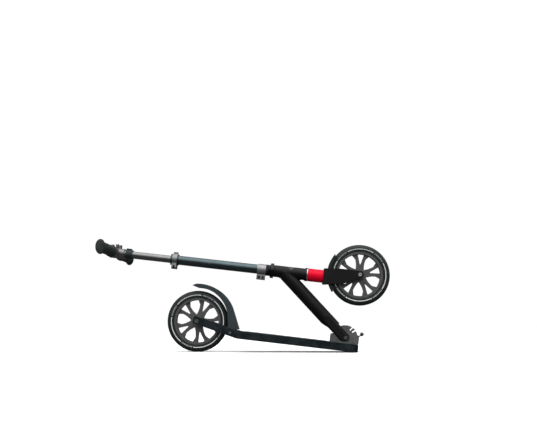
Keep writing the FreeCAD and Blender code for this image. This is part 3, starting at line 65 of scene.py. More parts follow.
class Value:
    """A socket of a finish. Python's + - * / on values add Math nodes, and node() adds any other node."""

    def __init__(self, tree, socket=None):
        self.tree = tree
        self.socket = socket

    def node(self, kind, settings=None, sockets=None, output=0):
        """Adds a node: its settings first, then numbers or links into its sockets."""
        made = self.tree.nodes.new("ShaderNode" + kind)
        for name, value in (settings or {}).items():
            setattr(made, name, value)
        for name, value in (sockets or {}).items():
            if isinstance(value, Value):
                self.tree.links.new(value.socket, made.inputs[name])
            else:
                made.inputs[name].default_value = value
        return Value(self.tree, made.outputs[output])

    def math(self, operation, first, second=0.0):
        """One Math node."""
        return self.node("Math", {"operation": operation}, {0: first, 1: second})

    def __add__(self, other):
        return self.math("ADD", self, other)

    def __sub__(self, other):
        return self.math("SUBTRACT", self, other)

    def __rsub__(self, other):
        return self.math("SUBTRACT", other, self)

    def __mul__(self, other):
        return self.math("MULTIPLY", self, other)

    def __truediv__(self, other):
        return self.math("DIVIDE", self, other)

    __radd__ = __add__
    __rmul__ = __mul__

    def step(self, edge, soft):
        """Rises from 0 to 1 as the value passes the edge, over a soft width."""
        return self.node("MapRange", {"interpolation_type": "SMOOTHSTEP"},
                         {"Value": self, "From Min": edge - soft / 2, "From Max": edge + soft / 2})

    def within(self, centre, half, soft):
        """1 where the value is closer to the centre than half, else 0, with soft edges."""
        return 1 - self.math("ABSOLUTE", self - centre).step(half, soft)

    def feed(self, name):
        """Links the value to a socket of the finish's shader."""
        self.tree.links.new(self.socket, self.tree.nodes["Principled BSDF"].inputs[name])


def finish(name, **plain):
    """A new material with its shader's plain values set. Returns the material and a Value to build from."""
    material = bpy.data.materials.new(name)
    material.use_nodes = True
    shader = material.node_tree.nodes["Principled BSDF"]
    for socket, value in plain.items():
        shader.inputs[socket.replace("_", " ")].default_value = value
    return material, Value(material.node_tree)


def local(start, turn=0.0, origin=(0.0, 0.0, 0.0), unit=(1.0, 1.0, 1.0)):
    """Object coordinates seen from a frame at origin turned about Y, each axis divided by its unit."""
    here = start.node("TexCoord", output="Object")
    return start.node("Mapping", {"vector_type": "TEXTURE"},
                      {"Vector": here, "Location": origin, "Rotation": (0.0, turn, 0.0), "Scale": unit})


def noise(place, scale, detail=2.0, roughness=0.5):
    """Smooth noise from 0 to 1; scale is in waves per unit of the place."""
    return place.node("TexNoise", {}, {"Vector": place, "Scale": scale, "Detail": detail,
                                       "Roughness": roughness})


def blend(factor, low, high):
    """A colour from low to high as the factor goes from 0 to 1."""
    return factor.node("Mix", {"data_type": "RGBA"}, {0: factor, 6: low, 7: high}, output=2)


def relief(height, distance, strength):
    """A Bump node: height 1 stands the distance in metres above height 0."""
    return height.node("Bump", {}, {"Height": height, "Distance": distance, "Strength": strength})


def part_of(place, axis):
    """One coordinate of a place."""
    return place.node("SeparateXYZ", {}, {0: place}, output=axis)


def drawn_metal(name, colour, worn, turn, along, across, metallic=1.0, rough=0.34, lines=0.5):
    """Metal with fine drawing lines along one axis of a frame turned about Y, and soft cloudy wear."""
    material, start = finish(name, Metallic=metallic)
    streaks = noise(local(start, turn, unit=(along[0], across, along[1])), 1.0, 3.0, 0.6)
    cloud = noise(local(start), 42.0, 3.0, 0.55)
    grain = noise(local(start), 2600.0, 2.0, 0.6)
    tone = (streaks * lines + cloud * (1.0 - lines)).step(0.52, 0.42)
    blend(tone, colour, worn).feed("Base Color")
    (rough - 0.06 + cloud * 0.12 + grain * 0.05).feed("Roughness")
    relief(streaks * 0.7 + grain * 0.3, 0.00003, 0.6).feed("Normal")
    return material


def soften(name, width):
    """Breaks a CAD piece's sharp edges: loose triangles are welded, flats joined, then edges bevelled."""
    piece = nodes[name]
    weld = piece.modifiers.new("weld", "WELD")
    weld.merge_threshold = 0.000002
    flats = piece.modifiers.new("flats", "DECIMATE")
    flats.decimate_type = "DISSOLVE"
    flats.angle_limit = math.radians(FLAT_WITHIN)
    bevel = piece.modifiers.new("edges", "BEVEL")
    bevel.limit_method = "ANGLE"
    bevel.angle_limit = math.radians(SHARP_PAST)
    bevel.width = width
    bevel.segments = 2
    bevel.use_clamp_overlap = True
    normals = piece.modifiers.new("normals", "WEIGHTED_NORMAL")
    normals.keep_sharp = True
    normals.weight = 60


def dress(material, *names, edge=0.0):
    """Gives CAD pieces a finish, and breaks their edges where an edge width is given."""
    for name in names:
        piece = nodes[name]
        piece.data.materials.clear()
        piece.data.materials.append(material)
        if edge:
            soften(name, edge)


slate = drawn_metal("deck_anodised", DECK_SLATE, DECK_SLATE_WORN, DECK_TILT, (0.30, 0.0009), 0.0009,
                    rough=0.40)
dress(slate, "deck_platform", "nose_cap", "rear_crossmember", edge=0.5 * MM)

# ==== grip sheet ==============================================================================
# The feet stand on a self-adhesive sheet of silicon-carbide grit on a polyester film, stuck to the platform.
# Its face is a field of sharp grains, rubbed a little smoother in broad patches where the feet rest.
GRIT_BLACK = (0.010, 0.011, 0.012, 1.0)
GRIT_LIGHT = (0.105, 0.108, 0.110, 1.0)

grit_sheet, start = finish("grip_sheet_grit", Specular_IOR_Level=0.4)
grains = start.node("TexVoronoi", {"feature": "F1"}, {"Vector": local(start), "Scale": 1500.0})
crumbs = noise(local(start), 2900.0, 3.0, 0.7)
rubbed = noise(local(start, DECK_TILT, unit=(0.11, 0.05, 0.1)), 1.0, 2.0)
blend((crumbs * 0.8 + grains * 0.35).step(0.66, 0.16), GRIT_BLACK, GRIT_LIGHT).feed("Base Color")
(0.92 - rubbed * 0.22).feed("Roughness")
relief(1 - grains + crumbs * 0.5, 0.00045, 0.9).feed("Normal")
dress(grit_sheet, "grip_tape")

# ==== side rails ==============================================================================
# Two flat aluminium bars run on from the deck's sides and are bent up and in to hold the rear axle.
# They have the deck's anodising, a little smoother, and their sawn edges are rounded over.
rail_slate = drawn_metal("rail_anodised", (0.016, 0.023, 0.026, 1.0), (0.055, 0.068, 0.073, 1.0), DECK_TILT,
                         (0.22, 0.0006), 0.0006, rough=0.36)
dress(rail_slate, "rail_left", "rail_right", edge=1.5 * MM)

# ==== folding bracket =========================================================================
# One aluminium casting: a base plate, two slotted cheeks and the guide of the push knob, bolted to the deck.
# It is tumbled and left mid grey, with a sandy skin that is a little lighter in patches.
bracket_cast, start = finish("bracket_tumbled", Metallic=0.55)
sand = noise(local(start), 1500.0, 4.0, 0.65)
patch = noise(local(start), 60.0, 3.0, 0.5)
blend((patch * 0.7 + sand * 0.3).step(0.5, 0.4), (0.082, 0.085, 0.084, 1.0), (0.150, 0.154, 0.152, 1.0)).feed(
    "Base Color")
(0.46 + patch * 0.16).feed("Roughness")
relief(sand, 0.00009, 0.8).feed("Normal")
dress(bracket_cast, "fold_bracket", edge=0.45 * MM)

# ==== bolts, axles and pins ===================================================================
# Zinc-plated steel fasteners hold the bracket, the axles, the hinge pins and the clamps together.
# The plating is finely mottled and slightly warm in patches; some pieces are dulled, others blackened.
plated, start = finish("bolt_zinc", Metallic=1.0)
mottled = noise(local(start), 900.0, 3.0, 0.6)
tarnish = noise(local(start), 130.0, 2.0, 0.5)
blend(tarnish.step(0.55, 0.4), (0.50, 0.50, 0.49, 1.0), (0.33, 0.32, 0.29, 1.0)).feed("Base Color")
(0.24 + mottled * 0.2).feed("Roughness")
relief(mottled, 0.00002, 0.6).feed("Normal")
dress(plated, "front_axle", "knob_stem", "mudguard_screws", edge=0.25 * MM)

dull_zinc, start = finish("bolt_dull_zinc", Metallic=0.9)
bloom = noise(local(start), 420.0, 3.0, 0.6)
blend(bloom.step(0.5, 0.5), (0.17, 0.17, 0.165, 1.0), (0.085, 0.085, 0.083, 1.0)).feed("Base Color")
(0.34 + bloom * 0.2).feed("Roughness")
relief(bloom, 0.00003, 0.6).feed("Normal")
dress(dull_zinc, "rear_axle", "pivot_bolt", "fender_hinge_pin", edge=0.25 * MM)

blackened, start = finish("bolt_blackened", Metallic=0.9)
oxide = noise(local(start), 700.0, 3.0, 0.6)
blend(oxide.step(0.5, 0.5), (0.018, 0.018, 0.020, 1.0), (0.060, 0.058, 0.056, 1.0)).feed("Base Color")
(0.32 + oxide * 0.2).feed("Roughness")
relief(oxide, 0.00003, 0.7).feed("Normal")
dress(blackened, "bracket_bolts", "stem_clamp_bolts", "qr_bolt", "grip_hinge_pins", "lock_bolt",
      edge=0.2 * MM)

# ==== springs =================================================================================
# Round steel wire is wound into the knob's, the fender's and the lock bolt's springs; each sits on its rod.
# The wire is drawn bright and oiled, so it is smooth along its length with a faint brown tint.
NECK_TURN = math.radians(-49.0) + DECK_TILT
KNOB_SLANT = math.radians(40.0) - DECK_TILT
FENDER_LEG = 10 * MM

spring_wire, start = finish("spring_wire", Metallic=1.0)
oil = noise(local(start), 500.0, 2.0, 0.5)
blend(oil.step(0.5, 0.4), (0.46, 0.45, 0.43, 1.0), (0.27, 0.25, 0.22, 1.0)).feed("Base Color")
(0.22 + oil * 0.16).feed("Roughness")


def put_in(name, points, body, material, wrap_rows=False, uv=None):
    """A mesh from a grid of points: each point joins its neighbours along its row and column.

    Columns always close into rings. Rows close too if asked; if not, the end rings are meant to be single
    points, which are merged. uv is a function of the row and the unwrapped column numbers.
    """
    rows, columns = points.shape[:2]
    row, column = np.meshgrid(np.arange(rows if wrap_rows else rows - 1), np.arange(columns), indexing="ij")
    corner_rows = np.stack([row, row, row + 1, row + 1], axis=-1).reshape(-1, 4)
    corner_columns = np.stack([column, column + 1, column + 1, column], axis=-1).reshape(-1, 4)
    faces = (corner_rows % rows) * columns + corner_columns % columns
    mesh = bpy.data.meshes.new(name)
    mesh.from_pydata(points.reshape(-1, 3), [], faces.tolist())
    if uv is not None:
        layer = mesh.uv_layers.new(name="wheel")
        layer.data.foreach_set("uv", uv(corner_rows, corner_columns).astype(np.float32).ravel())
    build = bmesh.new()
    build.from_mesh(mesh)
    bmesh.ops.remove_doubles(build, verts=build.verts, dist=1e-7)
    bmesh.ops.recalc_face_normals(build, faces=build.faces)
    build.to_mesh(mesh)
    build.free()
    mesh.shade_smooth()
    mesh.materials.append(material)
    piece = bpy.data.objects.new(name, mesh)
    bpy.context.scene.collection.objects.link(piece)
    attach(piece, body)
    return piece


def wire_along(path, radius, sides=10, closed=False):
    """A round wire on a path: each ring lies across the path's tangent, on two axes worked out from a fixed
    side direction. An open wire's ends are closed to a point; radius may be an array, one value a ring."""
    tangent = np.roll(path, -1, 0) - np.roll(path, 1, 0) if closed else np.gradient(path, axis=0)
    tangent /= np.linalg.norm(tangent, axis=1)[:, None]
    guide = np.array([0.31, 0.62, 0.72])
    side = np.cross(tangent, guide)
    side /= np.linalg.norm(side, axis=1)[:, None]
    lift = np.cross(tangent, side)
    angle = np.linspace(0, 2 * np.pi, sides, endpoint=False)
    radius = np.broadcast_to(radius, len(path))[:, None, None]
    ring = np.cos(angle)[None, :, None] * side[:, None] + np.sin(angle)[None, :, None] * lift[:, None]
    rings = path[:, None] + radius * ring
    if closed:
        return rings
    first = np.broadcast_to(path[:1, None], (1, sides, 3))
    last = np.broadcast_to(path[-1:, None], (1, sides, 3))
    return np.concatenate([first, rings, last])


def helix(node, axis, length, radius, turns):
    """Points of a helix round an axis through the middle of a CAD piece's box, its end turns flattened."""
    low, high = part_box(node)
    middle = (np.array(low) + np.array(high)) / 2
    axis = np.array(axis) / np.linalg.norm(axis)
    across = np.array([0.0, 1.0, 0.0]) if abs(axis[1]) < 0.5 else np.array([1.0, 0.0, 0.0])
    up = np.cross(axis, across)
    share = np.linspace(0, 1, 360)
    climb = np.clip((share - 0.1) / 0.8, 0, 1) - 0.5
    angle = 2 * np.pi * turns * share
    return (middle + np.outer(climb * length, axis)
            + radius * (np.outer(np.cos(angle), across) + np.outer(np.sin(angle), up)))


knob_path = helix("knob_spring", (math.cos(KNOB_SLANT), 0, math.sin(KNOB_SLANT)), 7.8 * MM, 3.95 * MM, 5)
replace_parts(put_in("knob_spring_wire", wire_along(knob_path, 0.55 * MM), "deck", spring_wire), "knob_spring")
fender_path = helix("fender_spring", (0, 1, 0), 7.4 * MM, 4.1 * MM, 5)
legs = np.linspace(0, FENDER_LEG, 20)[:, None]
leg_in = fender_path[0] + legs[::-1] * np.array([-0.35, 0.0, -0.94])
leg_out = fender_path[-1] + legs[1:] * np.array([0.99, 0.0, 0.12])
fender_path = np.concatenate([leg_in, fender_path, leg_out])
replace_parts(put_in("fender_spring_wire", wire_along(fender_path, 0.7 * MM), "deck", spring_wire),
            "fender_spring")
lock_path = helix("lock_spring", (math.sin(NECK_TURN), 0, math.cos(NECK_TURN)), 16.0 * MM, 4.4 * MM, 6)
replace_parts(put_in("lock_spring_wire", wire_along(lock_path, 0.9 * MM), "neck", spring_wire), "lock_spring")

# ==== push knob ===============================================================================
# A ball knob of black nylon, moulded on the end of its steel rod, which the thumb pushes to let the fold go.
# Its face is finely pebbled for grip and worn a little shiny.
nylon, start = finish("knob_nylon", Specular_IOR_Level=0.25)
pebble = start.node("TexVoronoi", {"feature": "SMOOTH_F1"}, {"Vector": local(start), "Scale": 900.0})
shine = noise(local(start), 90.0, 2.0)
blend(shine.step(0.5, 0.5), (0.030, 0.034, 0.035, 1.0), (0.062, 0.070, 0.071, 1.0)).feed("Base Color")
(0.36 + shine * 0.24).feed("Roughness")
relief(pebble, 0.00008, 0.6).feed("Normal")
dress(nylon, "push_knob")

# ==== rear fender brake =======================================================================
# A channel of glass-filled nylon hinged on a pin between the rails; the heel presses it on the tyre.
# The moulding is slate grey with a spark-eroded skin, scuffed lighter along its crown by shoes.
def moulded(name, colour, scuffed, scuff_turn, rough=0.48):
    """Moulded plastic: a fine eroded skin, cloudy tone, and long scuffs in a frame turned about Y."""
    material, start = finish(name, Specular_IOR_Level=0.22)
    skin = noise(local(start), 1100.0, 3.0, 0.65)
    cloud = noise(local(start), 30.0, 3.0, 0.5)
    scuffs = noise(local(start, scuff_turn, unit=(0.030, 0.0011, 0.0030)), 1.0, 4.0, 0.7)
    worn = scuffs.step(0.66, 0.10) * cloud.step(0.52, 0.2)
    tone = blend((cloud * 0.6 + skin * 0.4).step(0.5, 0.5), colour, [c * 1.45 for c in colour[:3]] + [1.0])
    blend(worn * 0.55, tone, scuffed).feed("Base Color")
    (rough + cloud * 0.10 - worn * 0.12).feed("Roughness")
    relief(skin - scuffs.step(0.66, 0.06) * 0.5, 0.00005, 0.7).feed("Normal")
    return material


fender_nylon = moulded("fender_nylon", (0.026, 0.036, 0.040, 1.0), (0.075, 0.092, 0.097, 1.0), DECK_TILT)
dress(fender_nylon, "brake_fender", edge=0.7 * MM)

pad_rubber, start = finish("pad_rubber", Specular_IOR_Level=0.25)
pores = noise(local(start), 1300.0, 4.0, 0.7)
blend(pores.step(0.5, 0.4), (0.010, 0.010, 0.010, 1.0), (0.030, 0.029, 0.028, 1.0)).feed("Base Color")
(0.78 + pores * 0.15).feed("Roughness")
relief(pores, 0.0001, 0.8).feed("Normal")
dress(pad_rubber, "brake_pad", edge=0.4 * MM)

# ==== neck: yoke, down tube and head tube =====================================================
# A cast yoke is plugged into a stout aluminium tube that is coped and welded to the head tube.
# The welded frame is powder-coated satin black, with a fine orange peel and dust-fine scuffs.
COLUMN_TURN = math.radians(-90.0) + DECK_TILT


def powder_coat(name, turn):
    """Satin black powder coat: orange peel, slow tone changes and faint rubbing along the tube."""
    material, start = finish(name, Specular_IOR_Level=0.20)
    peel = noise(local(start), 620.0, 2.0, 0.45)
    dust = noise(local(start), 2400.0, 3.0, 0.6)
    slow = noise(local(start), 22.0, 3.0, 0.5)
    rub = noise(local(start, turn, unit=(0.0012, 0.0012, 0.020)), 1.0, 3.0, 0.6).step(0.67, 0.08)
    tone = blend((slow * 0.6 + dust * 0.4).step(0.5, 0.5), (0.0018, 0.0018, 0.0019, 1.0),
                 (0.0050, 0.0050, 0.0049, 1.0))
    blend(rub * slow * 0.35, tone, (0.030, 0.030, 0.029, 1.0)).feed("Base Color")
    (0.42 + slow * 0.10 + dust * 0.04 - rub * 0.05).feed("Roughness")
    relief(peel * 0.8 + dust * 0.2, 0.00006, 0.55).feed("Normal")
    return material


neck_black = powder_coat("neck_powder_coat", NECK_TURN)
dress(neck_black, "down_tube")
dress(neck_black, "fold_yoke", edge=0.8 * MM)

fold_pivot = np.array(joints["fold"]["pos_m"])
steer_point = np.array(joints["steering"]["pos_m"])
column_up = np.array([math.sin(COLUMN_TURN), 0, math.cos(COLUMN_TURN)])
column_front = np.array([math.cos(COLUMN_TURN), 0, -math.sin(COLUMN_TURN)])
tube_up = np.array([math.sin(NECK_TURN), 0, math.cos(NECK_TURN)])
tube_front = np.array([math.cos(NECK_TURN), 0, -math.sin(NECK_TURN)])
DOWN_TUBE = 22.35 * MM
HEAD_TUBE = 20.0 * MM
TUBE_SET_BACK = 3.65 * MM
WELD_RIPPLE = 2.6


def weld_path():
    """Where the down tube's outside meets the head tube: for each angle round the down tube the point slides
    along the tube until its place ahead of the steering axis is minus the root of head radius squared less y
    squared; past the head tube's side it stays on the tube's widest line."""
    angle = np.linspace(0, 2 * np.pi, 420, endpoint=False)
    side = DOWN_TUBE * np.sin(angle)
    start_at = fold_pivot - TUBE_SET_BACK * tube_front + np.outer(DOWN_TUBE * np.cos(angle), tube_front)
    target = -np.sqrt(np.maximum(HEAD_TUBE ** 2 - side ** 2, 0))
    reach = (target - (start_at - steer_point) @ column_front) / (tube_up @ column_front)
    path = start_at + np.outer(reach, tube_up)
    path[:, 1] = np.clip(side, -HEAD_TUBE * 1.01, HEAD_TUBE * 1.01)
    return path


weld_round = weld_path()
step_length = np.linalg.norm(np.roll(weld_round, -1, 0) - weld_round, axis=1)
travelled = np.concatenate([[0.0], np.cumsum(step_length)[:-1]])
waves = round(step_length.sum() / (WELD_RIPPLE * MM))
ripple = 1.7 * MM + 0.22 * MM * np.abs(np.sin(np.pi * waves * travelled / step_length.sum()))
put_in("neck_weld_bead", wire_along(weld_round, ripple, 14, closed=True), "neck", neck_black, wrap_rows=True)

# ==== head tube and headset cups ==============================================================
# The head tube is coated like the neck and carries a plain two-tone chevron printed on its front.
# The pressed-in cups are turned aluminium, black like the frame, the lower one with a bright machined lip.
CHEVRON_HEIGHT = 21.0       # millimetres along the tube, each way
CHEVRON_REACH = 1.22        # radians round the tube, each way

head_paint = powder_coat("head_tube_powder_coat", COLUMN_TURN)
head_start = Value(head_paint.node_tree)
low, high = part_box("head_tube")
head_middle = (np.array(low) + np.array(high)) / 2
on_head = local(head_start, COLUMN_TURN, tuple(head_middle), (MM, MM, MM))
round_angle = head_start.math("ARCTAN2", part_of(on_head, "Y"), part_of(on_head, "X"))
above_tip = part_of(on_head, "Z") + 5.0
arm = (head_start.math("ABSOLUTE", above_tip) / CHEVRON_HEIGHT
       + head_start.math("ABSOLUTE", round_angle) / CHEVRON_REACH)
chevron = 1 - arm.step(1.0, 0.03)
inner_chevron = arm.within(0.62, 0.035, 0.02)
paint_link = head_paint.node_tree.nodes["Principled BSDF"].inputs["Base Color"].links[0].from_socket
painted = Value(head_paint.node_tree, paint_link)
tinted = blend(chevron * (0.62 + 0.38 * arm), painted, (0.060, 0.060, 0.061, 1.0))
blend(inner_chevron, tinted, (0.17, 0.17, 0.17, 1.0)).feed("Base Color")
dress(head_paint, "head_tube")

cup_black = drawn_metal("cup_anodised", (0.012, 0.013, 0.014, 1.0), (0.035, 0.037, 0.038, 1.0), COLUMN_TURN,
                        (0.02, 0.0004), 0.02, rough=0.30)
dress(cup_black, "upper_headset_cup", edge=0.4 * MM)
lower_cup = drawn_metal("cup_lip_bright", (0.012, 0.013, 0.014, 1.0), (0.035, 0.037, 0.038, 1.0), COLUMN_TURN,
                        (0.02, 0.0004), 0.02, rough=0.28)
cup_start = Value(lower_cup.node_tree)
lip_height = part_of(local(cup_start, COLUMN_TURN, tuple(steer_point), (MM, MM, MM)), "Z")
low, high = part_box("lower_headset_cup")
lip_low = min((np.array(corner) - steer_point) @ column_up for corner in (low, high)) / MM
cup_tone = Value(lower_cup.node_tree,
                 lower_cup.node_tree.nodes["Principled BSDF"].inputs["Base Color"].links[0].from_socket)
blend(1 - lip_height.step(lip_low + 3.4, 0.3), cup_tone, (0.42, 0.42, 0.43, 1.0)).feed("Base Color")
dress(lower_cup, "lower_headset_cup", edge=0.3 * MM)

bearing_steel, start = finish("bearing_steel", Metallic=1.0)
lapped = noise(local(start), 1200.0, 3.0, 0.6)
blend(lapped.step(0.5, 0.5), (0.48, 0.48, 0.49, 1.0), (0.30, 0.30, 0.31, 1.0)).feed("Base Color")
(0.16 + lapped * 0.16).feed("Roughness")
dress(bearing_steel, "headset_bearings", "front_wheel_bearings", "rear_wheel_bearings", edge=0.2 * MM)

bronze, start = finish("bushing_bronze", Metallic=1.0)
sinter = noise(local(start), 1700.0, 4.0, 0.7)
blend(sinter.step(0.5, 0.4), (0.42, 0.27, 0.12, 1.0), (0.24, 0.15, 0.07, 1.0)).feed("Base Color")
(0.34 + sinter * 0.2).feed("Roughness")
relief(sinter, 0.00004, 0.7).feed("Normal")
dress(bronze, "pivot_bushings")

# ==== fork, sleeve and front mudguard =========================================================
# The fork is two flat legs welded to a crown plate and the steerer tube, powder-coated with the frame.
# A satin crimson sleeve hides the steerer above the crown; a small nylon mudguard is screwed under it.
fork_black = powder_coat("fork_powder_coat", COLUMN_TURN)
dress(fork_black, "fork", edge=1.0 * MM)

crimson, start = finish("sleeve_crimson", Specular_IOR_Level=0.08, Coat_Roughness=0.2)
swirl = noise(local(start), 70.0, 2.0, 0.5)
speck = noise(local(start), 1800.0, 2.0, 0.5)
blend((swirl * 0.7 + speck * 0.3).step(0.5, 0.6), (0.78, 0.0006, 0.022, 1.0),
      (0.90, 0.0010, 0.036, 1.0)).feed("Base Color")
(0.38 + swirl * 0.14).feed("Roughness")
(0.02 + speck * 0.06).feed("Coat Weight")
relief(swirl * 0.5 + speck * 0.5, 0.00003, 0.5).feed("Normal")
dress(crimson, "fork_sleeve")

guard_nylon = moulded("mudguard_nylon", (0.010, 0.013, 0.014, 1.0), (0.040, 0.047, 0.049, 1.0), COLUMN_TURN)
dress(guard_nylon, "front_mudguard", edge=0.5 * MM)

# ==== wheels ==================================================================================
# Each wheel is a painted casting of five spoke pairs, with a solid polyurethane tyre poured round it.
# The tyre has a moulded bead, a shallow tread, and on each side a printed white line in four arcs, with a row
# of plain ticks in each gap; steel sleeves centre the hub on the axle.
WHEEL_RADIUS = 102.5
RIM_SEAT = 78.0
TYRE_HALF = 15.0
SHOULDER = 90.0
LINE_RADIUS = 87.4
TYRE_COLUMNS = 400


def tyre_profile():
    """Radius and half-width round the tyre's section, as a closed line. The sidewall runs straight from the
    bead to the shoulder, the crown is the arc through shoulder and tread, and small cosine waves raise the
    bead and sink the tread's grooves."""
    wall = np.linspace(RIM_SEAT, SHOULDER, 26)
    slope = TYRE_HALF - 2.0 + 2.0 * (wall - RIM_SEAT) / (SHOULDER - RIM_SEAT)
    bead = 0.55 * np.exp(-((wall - RIM_SEAT - 1.4) / 0.9) ** 2)
    rise = WHEEL_RADIUS - SHOULDER
    arc_radius = (rise ** 2 + TYRE_HALF ** 2) / (2 * rise)
    reach = math.asin(TYRE_HALF / arc_radius) if rise < arc_radius else math.pi / 2
    sweep = np.linspace(reach, -reach, 120)[1:-1]
    crown_width = arc_radius * np.sin(sweep)
    crown_radius = WHEEL_RADIUS - arc_radius + arc_radius * np.cos(sweep)
    grooves = sum(np.exp(-((crown_width - place) / 0.42) ** 2) for place in (-6.4, -2.1, 2.1, 6.4))
    crown_radius = crown_radius - 0.55 * grooves
    base = np.linspace(TYRE_HALF - 2.0, -TYRE_HALF + 2.0, 8)[1:-1]
    width = np.concatenate([slope + bead, crown_width, -(slope + bead)[::-1], -base])
    radius = np.concatenate([wall, crown_radius, wall[::-1], np.full(len(base), RIM_SEAT)])
    return radius * MM, width * MM


def wheel_rings(radius, width, centre, columns):
    """The section turned about Y through a centre: x = r cos a, y = width, z = r sin a."""
    angle = np.linspace(0, 2 * np.pi, columns, endpoint=False)
    shape = (len(radius), columns)
    return centre + np.stack([radius[:, None] * np.cos(angle), np.broadcast_to(width[:, None], shape),
                              radius[:, None] * np.sin(angle)], axis=-1)


tyre_rubber, start = finish("tyre_polyurethane", Specular_IOR_Level=0.22)
mark = start.node("UVMap", {"uv_map": "wheel"})
quarter = part_of(mark, "X")
from_hub = part_of(mark, "Y")
in_quarter = start.math("FRACT", quarter)
gap = in_quarter.within(0.5, 0.170, 0.006)
tick = start.math("FRACT", quarter * 31.0).within(0.5, 0.24, 0.10)
ticks = tick * from_hub.within(LINE_RADIUS, 1.9, 0.5) * in_quarter.within(0.5, 0.135, 0.004)
line = from_hub.within(LINE_RADIUS, 1.25, 0.30) * (1 - gap)
dirt = noise(local(start), 55.0, 4.0, 0.6)
skin = noise(local(start), 1500.0, 3.0, 0.6)
crown_wear = from_hub.step(99.5, 3.0)
rubber = blend((dirt * 0.7 + skin * 0.3).step(0.5, 0.5), (0.009, 0.012, 0.013, 1.0),
               (0.020, 0.024, 0.025, 1.0))
dusty = blend(crown_wear * dirt * 0.5, rubber, (0.030, 0.032, 0.032, 1.0))
blend((line + ticks * 0.75) * (0.86 + 0.14 * skin), dusty, (0.80, 0.82, 0.82, 1.0)).feed("Base Color")
(0.42 + dirt * 0.16 + crown_wear * 0.14).feed("Roughness")
relief(skin + (line + ticks) * 0.6, 0.00005, 0.7).feed("Normal")

section_radius, section_width = tyre_profile()
for end, phase, body in (("front", 42.0, "front_wheel"), ("rear", 66.0, "rear_wheel")):
    hub_place = np.array(joints[end + "_wheel_spin"]["pos_m"])
    points = wheel_rings(section_radius, section_width, hub_place, TYRE_COLUMNS)
    shift = phase / 90.0 - 0.5

    def wheel_uv(rows, columns):
        """u counts quarter turns from the middle of an arc, v is the radius in millimetres."""
        turn = columns / TYRE_COLUMNS * 4.0 - shift + 4.0
        return np.stack([turn, section_radius[rows % len(section_radius)] / MM], axis=-1)

    tyre = put_in(end + "_tyre_surface", points, body, tyre_rubber, wrap_rows=True, uv=wheel_uv)
    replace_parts(tyre, end + "_tyre")

rim_paint, start = finish("rim_paint", Specular_IOR_Level=0.45, Metallic=0.25)
cast_skin = noise(local(start), 800.0, 3.0, 0.55)
shade = noise(local(start), 40.0, 3.0, 0.5)
blend((shade * 0.6 + cast_skin * 0.4).step(0.5, 0.5), (0.066, 0.066, 0.067, 1.0),
      (0.098, 0.098, 0.099, 1.0)).feed("Base Color")
(0.38 + shade * 0.16).feed("Roughness")
relief(cast_skin, 0.00006, 0.6).feed("Normal")
dress(rim_paint, "front_rim", "rear_rim", edge=0.6 * MM)

spacer_metal = drawn_metal("spacer_turned", (0.20, 0.20, 0.21, 1.0), (0.32, 0.32, 0.33, 1.0), 0.0,
                           (0.01, 0.01), 0.0004, rough=0.30)
dress(spacer_metal, "front_axle_spacers", "rear_axle_spacers", edge=0.2 * MM)

# ==== headset nut and stem clamp ==============================================================
# A knurled black nut closes the headset; above it a split clamp of forged aluminium grips the outer tube.
# The clamp is satin anodised silver with its two bolts at the back, in counterbored lugs.
def along_column(radius, height, columns, flutes, depth):
    """A profile turned about the steering axis: x = r cos a, y = r sin a and z = height in the column's
    frame. Flutes cut a cosine wave round the turn, as deep at each ring as its depth says."""
    angle = np.linspace(0, 2 * np.pi, columns, endpoint=False)
    reach = radius[:, None] - depth[:, None] * (0.5 - 0.5 * np.cos(flutes * angle))
    return (steer_point + reach[..., None] * (np.cos(angle)[:, None] * column_front
                                              + np.sin(angle)[:, None] * np.array([0.0, 1.0, 0.0]))
            + height[:, None, None] * column_up)


def span_on_column(node):
    """Lowest and highest place of a CAD piece's vertices along the steering axis, in metres."""
    points = np.empty(len(nodes[node].data.vertices) * 3)
    nodes[node].data.vertices.foreach_get("co", points)
    reach = (points.reshape(-1, 3) - steer_point) @ column_up
    return reach.min(), reach.max()


NUT = 19.0
NUT_GROOVE = 17.8
NUT_BORE = 14.32
FLUTE = 1.1
FLUTES = 24

# The section, outside from bottom to top and back down the bore: share of height, radius, share of the flute.
nut_section = np.array([(0.0, NUT_BORE, 0), (0.0, NUT - 0.6, 0), (0.03, NUT - 0.2, 0), (0.08, NUT, 0),
                        (0.38, NUT, 0), (0.42, NUT - 0.3, 0), (0.44, NUT_GROOVE, 0), (0.47, NUT_GROOVE, 0),
                        (0.49, NUT - 0.3, 0), (0.55, NUT, 0.8), (0.60, NUT, 1), (0.93, NUT, 1),
                        (0.97, NUT - 0.3, 0.8), (1.0, NUT - 0.9, 0), (1.0, NUT_BORE, 0), (0.6, NUT_BORE, 0),
                        (0.3, NUT_BORE, 0)])
nut_low, nut_high = span_on_column("headset_locknut")
nut_points = along_column(nut_section[:, 1] * MM, nut_low + nut_section[:, 0] * (nut_high - nut_low), 216,
                          FLUTES, nut_section[:, 2] * FLUTE * MM)
locknut = put_in("headset_locknut_knurled", nut_points, "fork_column", cup_black, wrap_rows=True)
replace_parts(locknut, "headset_locknut")

clamp_silver = drawn_metal("clamp_silver", (0.21, 0.21, 0.213, 1.0), (0.32, 0.32, 0.324, 1.0), COLUMN_TURN,
                           (0.003, 0.0008), 0.003, metallic=0.9, rough=0.42, lines=0.35)
dress(clamp_silver, "stem_clamp", edge=0.6 * MM)

